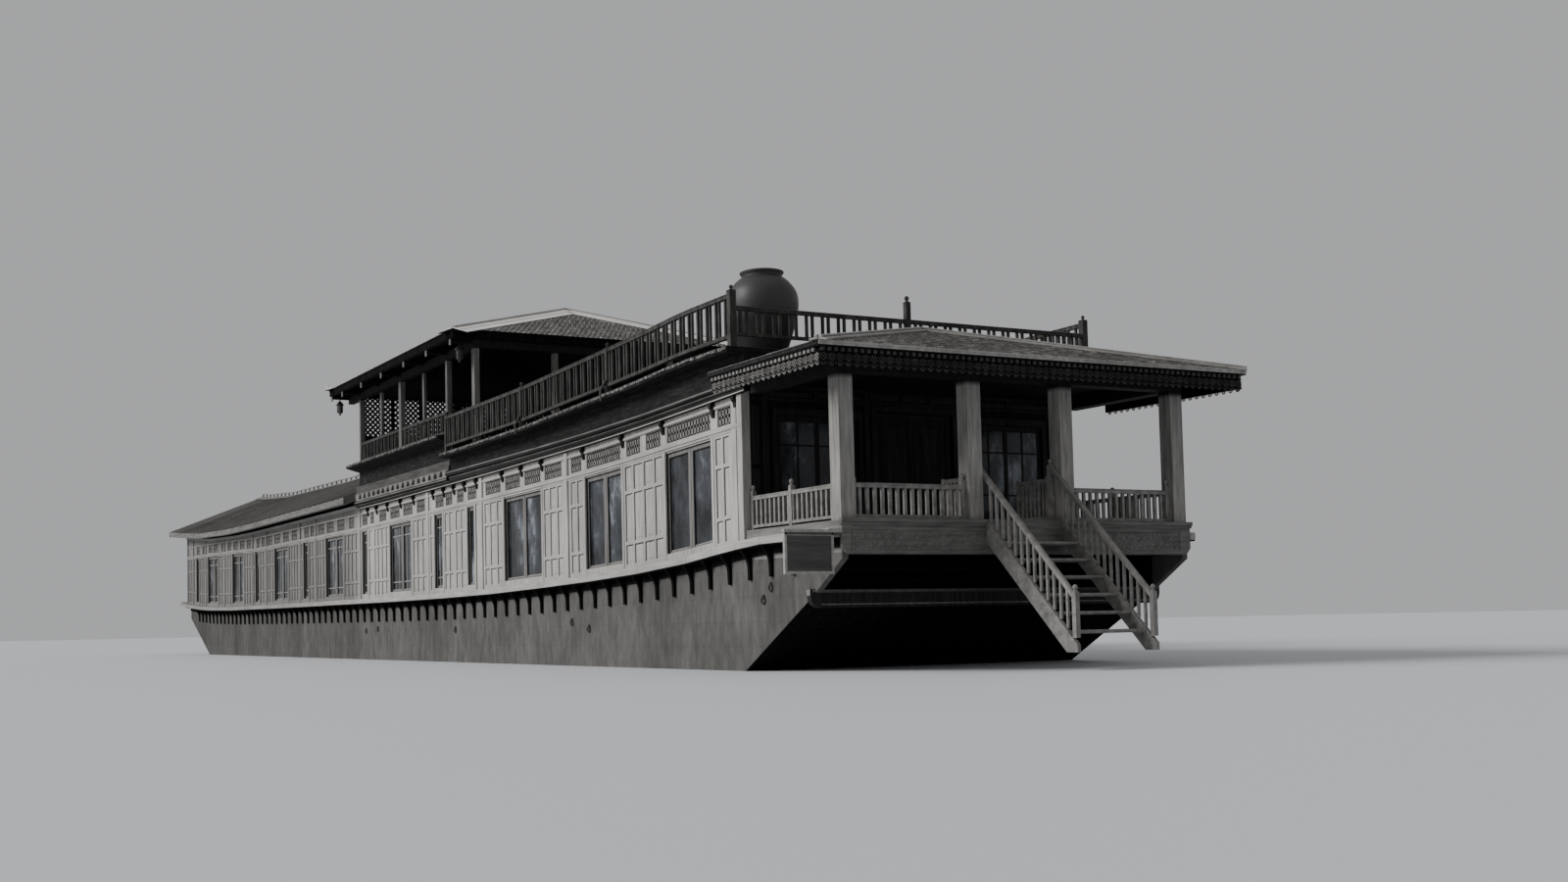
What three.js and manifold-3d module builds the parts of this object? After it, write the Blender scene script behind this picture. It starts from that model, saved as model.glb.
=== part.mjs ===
import * as THREE from 'three';
import Module from 'manifold-3d';

const wasm = await Module();
wasm.setup();

// Driving dimensions, in mm. Stations along the boat are counted from the front face of the porch columns,
// negative towards the stern. Heights are counted from the bottom of the hull.
const SHIFT_X = 18010;
const GAP = 0.4;
const HALF_BEAM = 2580;
const BOARD_EDGE = 2745;
const BOARD_THICK = 95;
const WALL_THICK = 90;
const BULKHEAD_X = -18060;
const STERN_WALL_X = -36450;
const STERN_TIP_X = -37520;
const PORCH_BACK_X = -2080;
const DECK_FRONT_X = -1910;
const DECK_STEP_X = -12340;
const FLOOR_TOP = 2320;
const FLOOR_BASE = 1950;
const COLUMN = 195;
const COLUMN_INNER = 690;
const COLUMN_OUTER = 2482;
const COLUMN_TOP = 3990;
const ROOF_EDGE = 2890;
const CANOPY_DECK_TOP = 4680;
const CORNICE_DROP = 50;
const BAND_LOW = 3920;
const BAND_TOP = 4232;
const BAND_FACE = 2700;
const KNEE_PITCH = 495;

// Heights along the boat as station and height pairs, bow first.
const SHEER = [
  [100, 2120], [-1500, 2120], [-2080, 2085], [-2690, 2035], [-3340, 1975], [-4750, 1895], [-6350, 1840],
  [-8170, 1800], [-10260, 1765], [-12670, 1752], [-15510, 1755], [-18890, 1772], [-24500, 1800],
  [-29800, 1841], [-32360, 1887], [-33700, 1925], [-35190, 2000], [-36300, 2070], [-37520, 2170],
];
const HEADS = [
  [-2000, 3560], [-3400, 3515], [-6100, 3400], [-8400, 3360], [-11700, 3324], [-14000, 3305],
  [-18000, 3280], [-20730, 3295], [-27400, 3315], [-30100, 3400], [-33400, 3471], [-36500, 3530],
];
const HOODS = [
  [-1800, 4030], [-3430, 3961], [-4860, 3905], [-6480, 3860], [-10420, 3805], [-15740, 3765], [-18100, 3760],
];
const CORNICES = [
  [-1800, 4235], [-2860, 4197], [-4500, 4138], [-6420, 4099], [-8250, 4082], [-12280, 4080], [-18100, 4085],
];
const DECKS = [
  [-1800, 4560], [-2980, 4554], [-3430, 4541], [-4400, 4492], [-5400, 4456], [-6800, 4411], [-8600, 4352], [-12400, 4325],
];
const EAVES = [
  [-18000, 4000], [-27000, 4010], [-29500, 4035], [-33000, 4140], [-35900, 4330], [-37450, 4450],
];
const RIDGES = [
  [-18000, 5225], [-27000, 5240], [-33400, 5350], [-36000, 5500], [-37450, 5620],
];

// Windows of a long side: from and to station, and number of lights.
const WINDOWS = [
  { from: -4165, to: -2845, lights: 2 }, { from: -6740, to: -5450, lights: 2 },
  { from: -9970, to: -8340, lights: 2 }, { from: -11700, to: -11290, lights: 1 },
  { from: -13420, to: -12915, lights: 1 }, { from: -16085, to: -14690, lights: 2 },
  { from: -17960, to: -17520, lights: 1 }, { from: -20730, to: -19290, lights: 2 },
  { from: -22665, to: -22170, lights: 1 }, { from: -25430, to: -24040, lights: 2 },
  { from: -27480, to: -26995, lights: 1 }, { from: -30180, to: -28770, lights: 2 },
  { from: -33425, to: -31960, lights: 2 }, { from: -35090, to: -34655, lights: 1 },
];

// Carved friezes above the windows of a long side: from and to station.
const FRIEZES = [
  [-2727, -2331], [-4106, -2915], [-4735, -4299], [-5341, -4903], [-6683, -5542], [-7247, -6864],
  [-8261, -7596], [-9073, -8420], [-9911, -9267], [-10809, -10117], [-11668, -11246], [-12212, -11884],
  [-12800, -12460], [-13363, -12918], [-14428, -13954], [-15246, -14685], [-16062, -15475], [-16771, -16301],
  [-17388, -17137], [-17946, -17585], [-18913, -18576], [-19824, -19273], [-20672, -20115], [-21392, -20869],
  [-22042, -21724], [-22617, -22195], [-23773, -23268], [-24607, -24042], [-25474, -24865], [-26146, -25696],
  [-26815, -26491], [-27384, -27004], [-28487, -27991], [-29303, -28740], [-30094, -29565], [-30855, -30364],
  [-31640, -31240], [-32714, -32099], [-33374, -32863], [-34240, -33800], [-35050, -34680],
];
const FRIEZE_RISE = 132;
const FRIEZE_HEIGHT = 225;
const FRIEZE_DEPTH = 30;

// Stations of the brackets below the hood moulding.
const CORBELS = [
  -2240, -2820, -4200, -5440, -6770, -8330, -9165, -10000, -11200, -11780, -12330, -12860, -13440, -14560,
  -15350, -16180, -16900, -17500,
];

const root = new THREE.Group();
root.name = 'houseboat';

function at(table, x) {
  for (let i = 1; i < table.length; i += 1) {
    const [xa, za] = table[i - 1];
    const [xb, zb] = table[i];
    if (x >= xb || i === table.length - 1) {
      return za + ((zb - za) * (x - xa)) / (xb - xa);
    }
  }
  return table[0][1];
}

const sheer = (x) => at(SHEER, x);
const deckTop = (x) => sheer(x) + BOARD_THICK;
const sill = (x) => sheer(x) + 170;
const head = (x) => at(HEADS, x);
const hood = (x) => at(HOODS, x);
const cornice = (x) => at(CORNICES, x);
const roofDeck = (x) => at(DECKS, x);
const eave = (x) => at(EAVES, x);
const ridge = (x) => at(RIDGES, x);

// Solids
function solid(points, triangles) {
  const a = new THREE.Vector3();
  const b = new THREE.Vector3();
  const c = new THREE.Vector3();
  let volume = 0;
  for (const [i, j, k] of triangles) {
    a.fromArray(points[i]);
    b.fromArray(points[j]);
    c.fromArray(points[k]);
    volume += a.dot(b.cross(c));
  }
  const turned = volume < 0 ? triangles.map(([i, j, k]) => [i, k, j]) : triangles;
  return new wasm.Manifold(new wasm.Mesh({
    numProp: 3,
    vertProperties: new Float32Array(points.flat()),
    triVerts: new Uint32Array(turned.flat()),
  }));
}

function area(points) {
  return THREE.ShapeUtils.area(points.map((p) => new THREE.Vector2(p[0], p[1])));
}

// Rings of equal count joined into one closed body, flatten gives a ring's point in the plane of its cap.
function loft(rings, flatten) {
  const count = rings[0].length;
  const triangles = [];
  for (let r = 0; r + 1 < rings.length; r += 1) {
    for (let i = 0; i < count; i += 1) {
      const p = r * count + i;
      const q = r * count + ((i + 1) % count);
      triangles.push([p, q, q + count], [p, q + count, p + count]);
    }
  }
  const last = (rings.length - 1) * count;
  for (const [ring, first] of [[rings[0], true], [rings[rings.length - 1], false]]) {
    const flat = ring.map(flatten);
    const outline = flat.map((p) => new THREE.Vector2(p[0], p[1]));
    const whole = Math.sign(area(flat));
    for (const [i, j, k] of THREE.ShapeUtils.triangulateShape(outline, [])) {
      const same = Math.sign(area([flat[i], flat[j], flat[k]])) === whole;
      const [m, n] = same ? [j, k] : [k, j];
      triangles.push(first ? [i, n, m] : [last + i, last + m, last + n]);
    }
  }
  return solid(rings.flat(), triangles);
}

function box(x0, x1, y0, y1, z0, z1) {
  return prismZ([[x0, y0], [x1, y0], [x1, y1], [x0, y1]], z0, z1);
}

function prismX(outline, x0, x1) {
  return loft([outline.map(([y, z]) => [x0, y, z]), outline.map(([y, z]) => [x1, y, z])], (p) => [p[1], p[2]]);
}

function prismY(outline, y0, y1) {
  return loft([outline.map(([x, z]) => [x, y0, z]), outline.map(([x, z]) => [x, y1, z])], (p) => [p[0], p[2]]);
}

function prismZ(outline, z0, z1) {
  return loft([outline.map(([x, y]) => [x, y, z0]), outline.map(([x, y]) => [x, y, z1])], (p) => [p[0], p[1]]);
}

// A section in Y and Z carried along the boat, its points worked out at each station.
function along(stations, section) {
  const rings = stations.map((x) => section(x).map(([y, z]) => [x, y, z]));
  return loft(rings, (p) => [p[1], p[2]]);
}

function stations(from, to, ...tables) {
  const high = Math.max(from, to);
  const low = Math.min(from, to);
  const inner = tables.flat().map(([x]) => x).filter((x) => x < high - 0.1 && x > low + 0.1);
  return [...new Set([high, ...inner, low])].sort((a, b) => b - a);
}

function join(parts) {
  return parts.reduce((whole, part) => whole.add(part));
}

function bar(a, b, width, height) {
  const from = new THREE.Vector3(...a);
  const to = new THREE.Vector3(...b);
  const run = to.clone().sub(from).normalize();
  const side = Math.abs(run.z) > 0.95 ? new THREE.Vector3(1, 0, 0) : new THREE.Vector3(0, 0, 1).cross(run).normalize();
  const up = run.clone().cross(side).normalize();
  const ring = (p) => [[-1, -1], [1, -1], [1, 1], [-1, 1]].map(([s, u]) => p.clone()
    .addScaledVector(side, (s * width) / 2)
    .addScaledVector(up, (u * height) / 2)
    .toArray());
  const flatten = (p) => {
    const v = new THREE.Vector3(...p);
    return [v.dot(side), v.dot(up)];
  };
  return loft([ring(from), ring(to)], flatten);
}

function add(name, body, color, roughness = 0.8) {
  const mesh = body.getMesh();
  const positions = [];
  for (let i = 0; i < mesh.vertProperties.length; i += 3) {
    positions.push(mesh.vertProperties[i] + SHIFT_X, mesh.vertProperties[i + 1], mesh.vertProperties[i + 2]);
  }
  const geometry = new THREE.BufferGeometry();
  geometry.setAttribute('position', new THREE.Float32BufferAttribute(positions, 3));
  geometry.setIndex(Array.from(mesh.triVerts));
  geometry.computeVertexNormals();
  const item = new THREE.Mesh(geometry, new THREE.MeshStandardMaterial({ color, roughness }));
  item.name = name;
  root.add(item);
}

const SIDES = [
  { name: 'starboard', s: -1 },
  { name: 'port', s: 1 },
];

// Hull
function hull() {
  const side = [
    [-31850, 0], [-3238, 0], [-626, 1473], [0, 1885], [0, FLOOR_BASE - GAP], [PORCH_BACK_X, FLOOR_BASE - GAP],
    [PORCH_BACK_X, deckTop(PORCH_BACK_X)],
    ...SHEER.filter(([x]) => x < PORCH_BACK_X && x > -36800).map(([x]) => [x, deckTop(x)]),
    [-36850, deckTop(-36850)], [-36850, 2045],
  ];
  const shell = prismY(side, -HALF_BEAM, HALF_BEAM);
  const recess = prismY([[10, 1550], [10, 2100], [-900, 2100], [-1300, 1550]], -2500, 2500);
  const plan = prismZ([
    [10, -HALF_BEAM], [10, HALF_BEAM], [-36000, HALF_BEAM], [-36900, 2300], [-36900, -2300], [-36000, -HALF_BEAM],
  ], -10, 2600);
  const bow = recess.subtract(box(-1400, 20, -3000, 3000, FLOOR_BASE - GAP, 2200));
  return shell.intersect(plan).subtract(bow).subtract(prowBeam(GAP));
}

// Beam across the bow, its ends rounded below, let into the edges of the hull sides
const BEAM = { back: -645, front: -560, half: 2645, low: 1345, top: 1560, round: 130 };

function prowBeam(grow = 0) {
  const y = BEAM.half + grow;
  const low = BEAM.low - grow;
  const top = BEAM.top + grow;
  const r = BEAM.round + grow;
  const corner = (s) => [0, 1, 2, 3, 4].map((i) => {
    const a = (i * Math.PI) / 8;
    return [s * (y - r + r * Math.sin(a)), low + r - r * Math.cos(a)];
  });
  return prismX([...corner(1), [y, top], [-y, top], ...corner(-1).reverse()], BEAM.back - grow, BEAM.front + grow);
}

// Walkway board with its row of brackets below
function walkway(s) {
  const inner = s * (HALF_BEAM + GAP);
  const outer = s * BOARD_EDGE;
  const board = along(stations(0, -36000, SHEER), (x) => [
    [inner, sheer(x)], [outer, sheer(x)], [outer, sheer(x) + BOARD_THICK], [inner, sheer(x) + BOARD_THICK],
  ]);
  const knees = [];
  for (let n = 0; n < 69; n += 1) {
    const x = -990 - n * KNEE_PITCH;
    const z = sheer(x);
    knees.push(prismX([
      [inner, z + 20], [s * 2722, z + 20], [s * 2722, z - 60], [s * 2680, z - 160], [s * 2624, z - 235],
      [s * 2618, z - 385], [inner, z - 385],
    ], x - 28, x + 28));
  }
  return join([board, ...knees]);
}

function sternDeck() {
  const outline = [
    [-36000.5, BOARD_EDGE], [-36900, BOARD_EDGE], [-37250, 2600], [-37450, 2300], [STERN_TIP_X, 1900],
  ];
  const full = [...outline, ...outline.map(([x, y]) => [x, -y]).reverse()];
  const slab = along([-36000.5, -36300, -36900, -37200, STERN_TIP_X], (x) => [
    [-BOARD_EDGE, sheer(x)], [BOARD_EDGE, sheer(x)], [BOARD_EDGE, sheer(x) + BOARD_THICK], [-BOARD_EDGE, sheer(x) + BOARD_THICK],
  ]);
  const hullTop = prismY([
    [-35900, 1000], [-36850.4, 1000], [-36850.4, deckTop(-36850) + 200], [-35900, deckTop(-36850) + 200],
  ], -HALF_BEAM - GAP, HALF_BEAM + GAP);
  return slab.intersect(prismZ(full, 1900, 2500)).subtract(hullTop);
}

// Cabin walls
function sideWall(s, from, to, table, drop, openings) {
  const inner = s * (HALF_BEAM - WALL_THICK);
  const outer = s * HALF_BEAM;
  let wall = along(stations(from, to, SHEER, table), (x) => [
    [inner, deckTop(x) + GAP], [outer, deckTop(x) + GAP], [outer, at(table, x) - drop], [inner, at(table, x) - drop],
  ]);
  for (const w of openings) {
    wall = wall.subtract(opening(w, s, 0, HALF_BEAM - 400, HALF_BEAM + 100));
  }
  for (const [a, b] of FRIEZES.filter(([f]) => f > to && f < from)) {
    wall = wall.subtract(frieze(a, b, s));
  }
  return wall;
}

function frieze(a, b, s) {
  const low = (x) => head(x) + FRIEZE_RISE;
  const high = (x) => low(x) + FRIEZE_HEIGHT;
  return prismY([[a, low(a)], [b, low(b)], [b, high(b)], [a, high(a)]], s * (HALF_BEAM - FRIEZE_DEPTH), s * (HALF_BEAM + 50));
}

function opening(w, s, grow, y0, y1) {
  return prismY([
    [w.from - grow, sill(w.from) - grow], [w.to + grow, sill(w.to) - grow],
    [w.to + grow, head(w.to) + grow], [w.from - grow, head(w.from) + grow],
  ], s * y0, s * y1);
}

// Window units of one wall, joined by the sill board inside
function glazing(s, from, to, openings) {
  const parts = [];
  const y0 = HALF_BEAM - 70;
  const y1 = HALF_BEAM - 25;
  for (const w of openings) {
    const frame = opening(w, s, -GAP, y0, y1);
    const width = (w.to - w.from) / w.lights;
    const panes = [];
    for (let i = 0; i < w.lights; i += 1) {
      const a = w.from + width * i + 60;
      const b = w.from + width * (i + 1) - 60;
      panes.push({ from: a, to: b });
    }
    let unit = frame;
    for (const p of panes) {
      unit = unit.subtract(prismY([
        [p.from, sill(p.from) + 60], [p.to, sill(p.to) + 60], [p.to, head(p.to) - 60], [p.from, head(p.from) - 60],
      ], s * (y1 - 25), s * (y1 + 5)));
    }
    parts.push(unit);
    parts.push(prismY([
      [w.from + 20, sill(w.from) + 5], [w.to - 20, sill(w.to) + 5], [w.to - 20, sill(w.to) + 50], [w.from + 20, sill(w.from) + 50],
    ], s * (HALF_BEAM - 130), s * (y0 + 5)));
  }
  const ledge = along(stations(from, to, SHEER), (x) => [
    [s * (HALF_BEAM - 160), sill(x) - 30], [s * (HALF_BEAM - WALL_THICK - GAP), sill(x) - 30],
    [s * (HALF_BEAM - WALL_THICK - GAP), sill(x) + 20], [s * (HALF_BEAM - 160), sill(x) + 20],
  ]);
  return join([ledge, ...parts]);
}

// Mouldings along the top of the fore wall
function corniceStrip(s) {
  const y = (d) => s * (HALF_BEAM + d);
  const corbels = CORBELS.map((x) => {
    const h = hood(x - 32);
    return prismX([
      [y(GAP), h + 20], [y(66), h + 20], [y(66), h - 55], [y(38), h - 90], [y(30), h - 150], [y(14), h - 185], [y(GAP), h - 185],
    ], x - 32, x + 32);
  });
  const step = [[DECK_STEP_X], [DECK_STEP_X - GAP]];
  const strip = along(stations(DECK_FRONT_X - 20, BULKHEAD_X, HOODS, CORNICES, step), (x) => {
    const h = hood(x);
    const c = (x >= DECK_STEP_X ? cornice(x) - CORNICE_DROP : BAND_LOW) - GAP;
    return [
      [y(GAP), h], [y(70), h], [y(70), h + 45], [y(105), h + 45], [y(105), h + (c - h) * 0.55],
      [y(150), h + (c - h) * 0.62], [y(150), c - 20], [y(130), c], [y(GAP), c],
    ];
  });
  return join([strip, ...corbels]);
}

// Decks and roofs
function roofDeckBox() {
  return along(stations(DECK_FRONT_X, DECK_STEP_X, DECKS, CORNICES), (x) => {
    const c = cornice(x);
    return deckSection(2650, ROOF_EDGE, c - CORNICE_DROP, c, roofDeck(x) - 70, roofDeck(x) - 70, roofDeck(x));
  });
}

function canopyDeck() {
  return along(stations(DECK_STEP_X - GAP, BULKHEAD_X, CORNICES), (x) => {
    const d = CANOPY_DECK_TOP;
    return deckSection(2600, ROOF_EDGE, BAND_TOP - 40, cornice(x), d - 140, d - 60, d);
  });
}

// Deck with a skirt hanging outside the walls and an overhanging edge
function deckSection(skirt, edge, skirtLow, ceiling, soffit, lip, top) {
  const half = [
    [HALF_BEAM + 2, ceiling], [HALF_BEAM + 2, skirtLow], [skirt, skirtLow], [skirt, soffit], [edge, lip], [edge, top],
  ];
  return [...half, ...half.map(([y, z]) => [-y, z]).reverse()];
}

// Pale boards under the canopy deck, the lowest cut with a row of arrow-shaped notches
function dentilBand(s) {
  const from = DECK_STEP_X - 2 * GAP;
  const to = BULKHEAD_X;
  const y = (d) => s * (BAND_FACE - d);
  let band = prismX([
    [s * 2600.5, BAND_LOW], [y(0), BAND_LOW], [y(0), 4070], [y(15), 4070], [y(15), 4128], [y(30), 4128],
    [y(30), BAND_TOP], [s * 2600.5, BAND_TOP],
  ], to, from);
  for (let i = 0; i < 18; i += 1) {
    const x = DECK_STEP_X - 60 - i * 312;
    band = band.subtract(prismY([
      [x - 45, 3950], [x + 45, 3950], [x + 60, 3985], [x + 15, 4045], [x - 15, 4045], [x - 60, 3985],
    ], s * (BAND_FACE - 60), s * (BAND_FACE + 20)));
  }
  return band;
}

function aftRoof() {
  return along(stations(BULKHEAD_X - GAP, -37450, EAVES, RIDGES), (x) => {
    const e = eave(x);
    const r = ridge(x);
    return [
      [-2960, e], [0, r], [2960, e], [2960, e - 130], [2870, e - 130], [0, r - 170], [-2870, e - 130], [-2960, e - 130],
    ];
  });
}

function aftRoofUnder(x, y) {
  const low = eave(x) - 130;
  const high = ridge(x) - 170;
  return low + ((high - low) * (2870 - Math.abs(y))) / 2870;
}

function sternWall() {
  const x = STERN_WALL_X;
  const edge = HALF_BEAM - WALL_THICK - GAP;
  const z = (y) => aftRoofUnder(x + 90, y) - 2;
  return prismX([
    [-edge, deckTop(x) + GAP], [edge, deckTop(x) + GAP], [edge, z(edge)], [0, z(0)], [-edge, z(edge)],
  ], x, x + 90);
}

function midBulkhead() {
  const x = BULKHEAD_X + 100;
  const edge = HALF_BEAM - 170;
  return prismX([
    [-edge, deckTop(x) + GAP + 2], [-500, deckTop(x) + GAP + 2], [-500, 3600], [500, 3600], [500, deckTop(x) + GAP + 2],
    [edge, deckTop(x) + GAP + 2], [edge, cornice(x) - GAP], [-edge, cornice(x) - GAP],
  ], x - 60, x);
}

// Back wall of the porch with its door opening and windows
function porchBack() {
  const x0 = PORCH_BACK_X - WALL_THICK;
  const edge = HALF_BEAM - WALL_THICK - GAP;
  const low = deckTop(x0) + 12;
  const wall = box(x0, PORCH_BACK_X - GAP, -edge, edge, low, cornice(x0) - 4);
  const door = box(x0 - 10, PORCH_BACK_X + 10, -600, 600, FLOOR_TOP + 5, 3860);
  const windows = [-1, 1].map((s) => prismX([[s * 900, 2480], [s * 2100, 2480], [s * 2100, 3760], [s * 900, 3760]], x0 - 10, PORCH_BACK_X + 10));
  return join([wall]).subtract(door).subtract(windows[0]).subtract(windows[1]);
}

function porchWindows(s) {
  const x0 = PORCH_BACK_X - 65;
  const frame = prismX([[s * 900.4, 2480.4], [s * 2099.6, 2480.4], [s * 2099.6, 3759.6], [s * 900.4, 3759.6]], x0, x0 + 45);
  let unit = frame;
  for (const [a, b] of [[960, 1470], [1530, 2040]]) {
    for (const [xa, xb] of [[x0 - 5, x0 + 15], [x0 + 30, x0 + 50]]) {
      unit = unit.subtract(prismX([[s * a, 2550], [s * b, 2550], [s * b, 3690], [s * a, 3690]], xa, xb));
    }
  }
  return unit;
}

function door(s) {
  const x0 = PORCH_BACK_X - 70;
  let leaf = prismX([[s * 6, FLOOR_TOP + 5 + GAP], [s * 592, FLOOR_TOP + 5 + GAP], [s * 592, 3852], [s * 6, 3852]], x0, x0 + 45);
  for (const [z0, z1] of [[2420, 2850], [2940, 3760]]) {
    for (const [xa, xb] of [[x0 - 5, x0 + 12], [x0 + 33, x0 + 50]]) {
      leaf = leaf.subtract(prismX([[s * 90, z0], [s * 510, z0], [s * 510, z1], [s * 90, z1]], xa, xb));
    }
  }
  return leaf;
}

// Porch
function porchFloor() {
  return box(PORCH_BACK_X + GAP, 0, -HALF_BEAM, HALF_BEAM, FLOOR_BASE, FLOOR_TOP);
}

function porchApron() {
  const y = HALF_BEAM + 20;
  return prismX([[-y + 70, FLOOR_BASE - 20], [y - 70, FLOOR_BASE - 20], [y, FLOOR_BASE + 60], [y, FLOOR_TOP + 20], [-y, FLOOR_TOP + 20], [-y, FLOOR_BASE + 60]], GAP, 38);
}

function porchFrame() {
  const parts = [];
  for (const y of [-COLUMN_OUTER, -COLUMN_INNER, COLUMN_INNER, COLUMN_OUTER]) {
    parts.push(box(-COLUMN, 0, y - COLUMN / 2, y + COLUMN / 2, FLOOR_TOP + GAP, COLUMN_TOP + 10));
  }
  parts.push(box(-COLUMN, 0, -COLUMN_OUTER - 97, COLUMN_OUTER + 97, COLUMN_TOP, 4150));
  for (const s of [-1, 1]) {
    for (const z of [FLOOR_TOP + GAP, FLOOR_TOP + 560 + GAP]) {
      parts.push(prismY([[-238, z], [-190, z], [-190, z + 14.2], [-238, z + 14.2]], s * 562, s * 610));
    }
    const y0 = s * (COLUMN_OUTER - 97);
    const y1 = s * (COLUMN_OUTER + 97);
    parts.push(prismY([[-50, COLUMN_TOP], [-50, 4150], [DECK_FRONT_X + GAP, 4150], [DECK_FRONT_X + GAP, COLUMN_TOP]], y0, y1));
  }
  return join(parts);
}

function porchValance() {
  const y0 = 3090;
  const y1 = 3125;
  const low = 3945;
  const high = 4150;
  return join([
    box(455, 490, -y1, y1, low, high),
    box(DECK_FRONT_X + GAP, 470, -y1, -y0, low, high),
    box(DECK_FRONT_X + GAP, 470, y0, y1, low, high),
  ]);
}

function porchRoof() {
  const x = DECK_FRONT_X + GAP;
  const low = [[510, -3160], [510, 3160], [x, 3160], [x, -3160]];
  const points = [...low.map(([a, b]) => [a, b, 4150.5]), ...low.map(([a, b]) => [a, b, 4195]), [x, 0, 4912]];
  return solid(points, [
    [0, 3, 2], [0, 2, 1], [0, 1, 5], [0, 5, 4], [1, 2, 6], [1, 6, 5], [3, 0, 4], [3, 4, 7],
    [2, 3, 7], [2, 7, 8], [2, 8, 6], [4, 5, 8], [5, 6, 8], [7, 4, 8],
  ]);
}

// Rails
function stickPlaces(from, to, pitch, size) {
  const count = Math.round((to - from) / pitch);
  const places = [];
  if (!size.pair) {
    for (let i = 0; i <= count; i += 1) {
      places.push(from + size.flat / 2 + ((to - from - size.flat) * i) / count);
    }
    return places;
  }
  for (let i = 0; i < count; i += 1) {
    const middle = from + ((to - from) * (i + 0.5)) / count;
    places.push(middle - size.pair / 2, middle + size.pair / 2);
  }
  return places;
}

function railAlongX(y, from, to, low, high, pitch, size) {
  const parts = [];
  const a = Math.min(from, to);
  const b = Math.max(from, to);
  const strip = (f, h) => along(stations(b, a, DECKS), (x) => [
    [y - size.bar / 2, f(x)], [y + size.bar / 2, f(x)], [y + size.bar / 2, f(x) + h], [y - size.bar / 2, f(x) + h],
  ]);
  parts.push(strip((x) => high(x) - size.top, size.top));
  parts.push(strip(low, size.bottom));
  for (const x of stickPlaces(a, b, pitch, size)) {
    const z0 = Math.max(low(x - size.flat / 2), low(x + size.flat / 2)) + 5;
    const z1 = Math.min(high(x - size.flat / 2), high(x + size.flat / 2)) - 5;
    parts.push(box(x - size.flat / 2, x + size.flat / 2, y - size.thin / 2, y + size.thin / 2, z0, z1));
  }
  return join(parts);
}

function railAlongY(x, from, to, low, high, pitch, size) {
  const parts = [
    box(x - size.bar / 2, x + size.bar / 2, from, to, high - size.top, high),
    box(x - size.bar / 2, x + size.bar / 2, from, to, low, low + size.bottom),
  ];
  for (const y of stickPlaces(from, to, pitch, size)) {
    parts.push(box(x - size.thin / 2, x + size.thin / 2, y - size.flat / 2, y + size.flat / 2, low + 5, high - 5));
  }
  return join(parts);
}

const PORCH_RAIL = { bar: 50, top: 40, bottom: 35, flat: 38, thin: 30 };
const DECK_RAIL = { bar: 60, top: 45, bottom: 45, flat: 34, thin: 30, pair: 86 };
const FRONT_RAIL = { bar: 50, top: 40, bottom: 40, flat: 34, thin: 30, pair: 86 };

const ROOF_POSTS = [-1945, -5450, -8630, -12110];

function roofRail(s) {
  const y = s * 2790;
  const parts = [];
  for (let i = 0; i + 1 < ROOF_POSTS.length; i += 1) {
    parts.push(railAlongX(y, ROOF_POSTS[i] + 10, ROOF_POSTS[i + 1] - 10, (x) => roofDeck(x) + 110, (x) => roofDeck(x) + 650, 240, DECK_RAIL));
  }
  for (const x of ROOF_POSTS) {
    parts.push(box(x - 35, x + 35, y - 38, y + 38, roofDeck(x + 35) + GAP, roofDeck(x) + 665));
  }
  parts.push(box(ROOF_POSTS[0] - 45, ROOF_POSTS[0] + 35, y - 45, y + 45, roofDeck(-1910) + GAP, roofDeck(-1945) + 700));
  return join(parts);
}

function roofRailFront() {
  const parts = [railAlongY(-1945, -2744.6, 2744.6, roofDeck(-1945) + 140, roofDeck(-1945) + 495, 243, FRONT_RAIL)];
  for (const [y, half, top] of [[-1450, 22, 150], [-170, 35, 735], [1450, 22, 150]]) {
    parts.push(box(-1945 - half, -1945 + half, y - half, y + half, roofDeck(-1910) + GAP, roofDeck(-1945) + top));
  }
  return join(parts);
}

function porchRailFront(s) {
  const y0 = COLUMN_INNER + COLUMN / 2 + GAP;
  const y1 = COLUMN_OUTER - COLUMN / 2 - GAP;
  const from = s < 0 ? -y1 : y0;
  const to = s < 0 ? -y0 : y1;
  const rail = railAlongY(-COLUMN / 2, from, to, FLOOR_TOP + 30, FLOOR_TOP + 410, 104, PORCH_RAIL);
  const posts = [from, to].map((y, i) => {
    const a = i === 0 ? y : y - 60;
    return box(-COLUMN / 2 - 30, -COLUMN / 2 + 30, a, a + 60, FLOOR_TOP + GAP, FLOOR_TOP + 480);
  });
  return join([rail, ...posts]);
}

function porchRailSide(s) {
  const y = s * COLUMN_OUTER;
  const a = PORCH_BACK_X + 1;
  const b = -COLUMN - GAP;
  const rail = railAlongX(y, a, b, () => FLOOR_TOP + 30, () => FLOOR_TOP + 410, 104, PORCH_RAIL);
  const posts = [a, (a + b) / 2 - 60, b - 60].map((x) => box(x, x + 60, y - 30, y + 30, FLOOR_TOP + GAP, FLOOR_TOP + 480));
  return join([rail, ...posts]);
}

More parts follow.
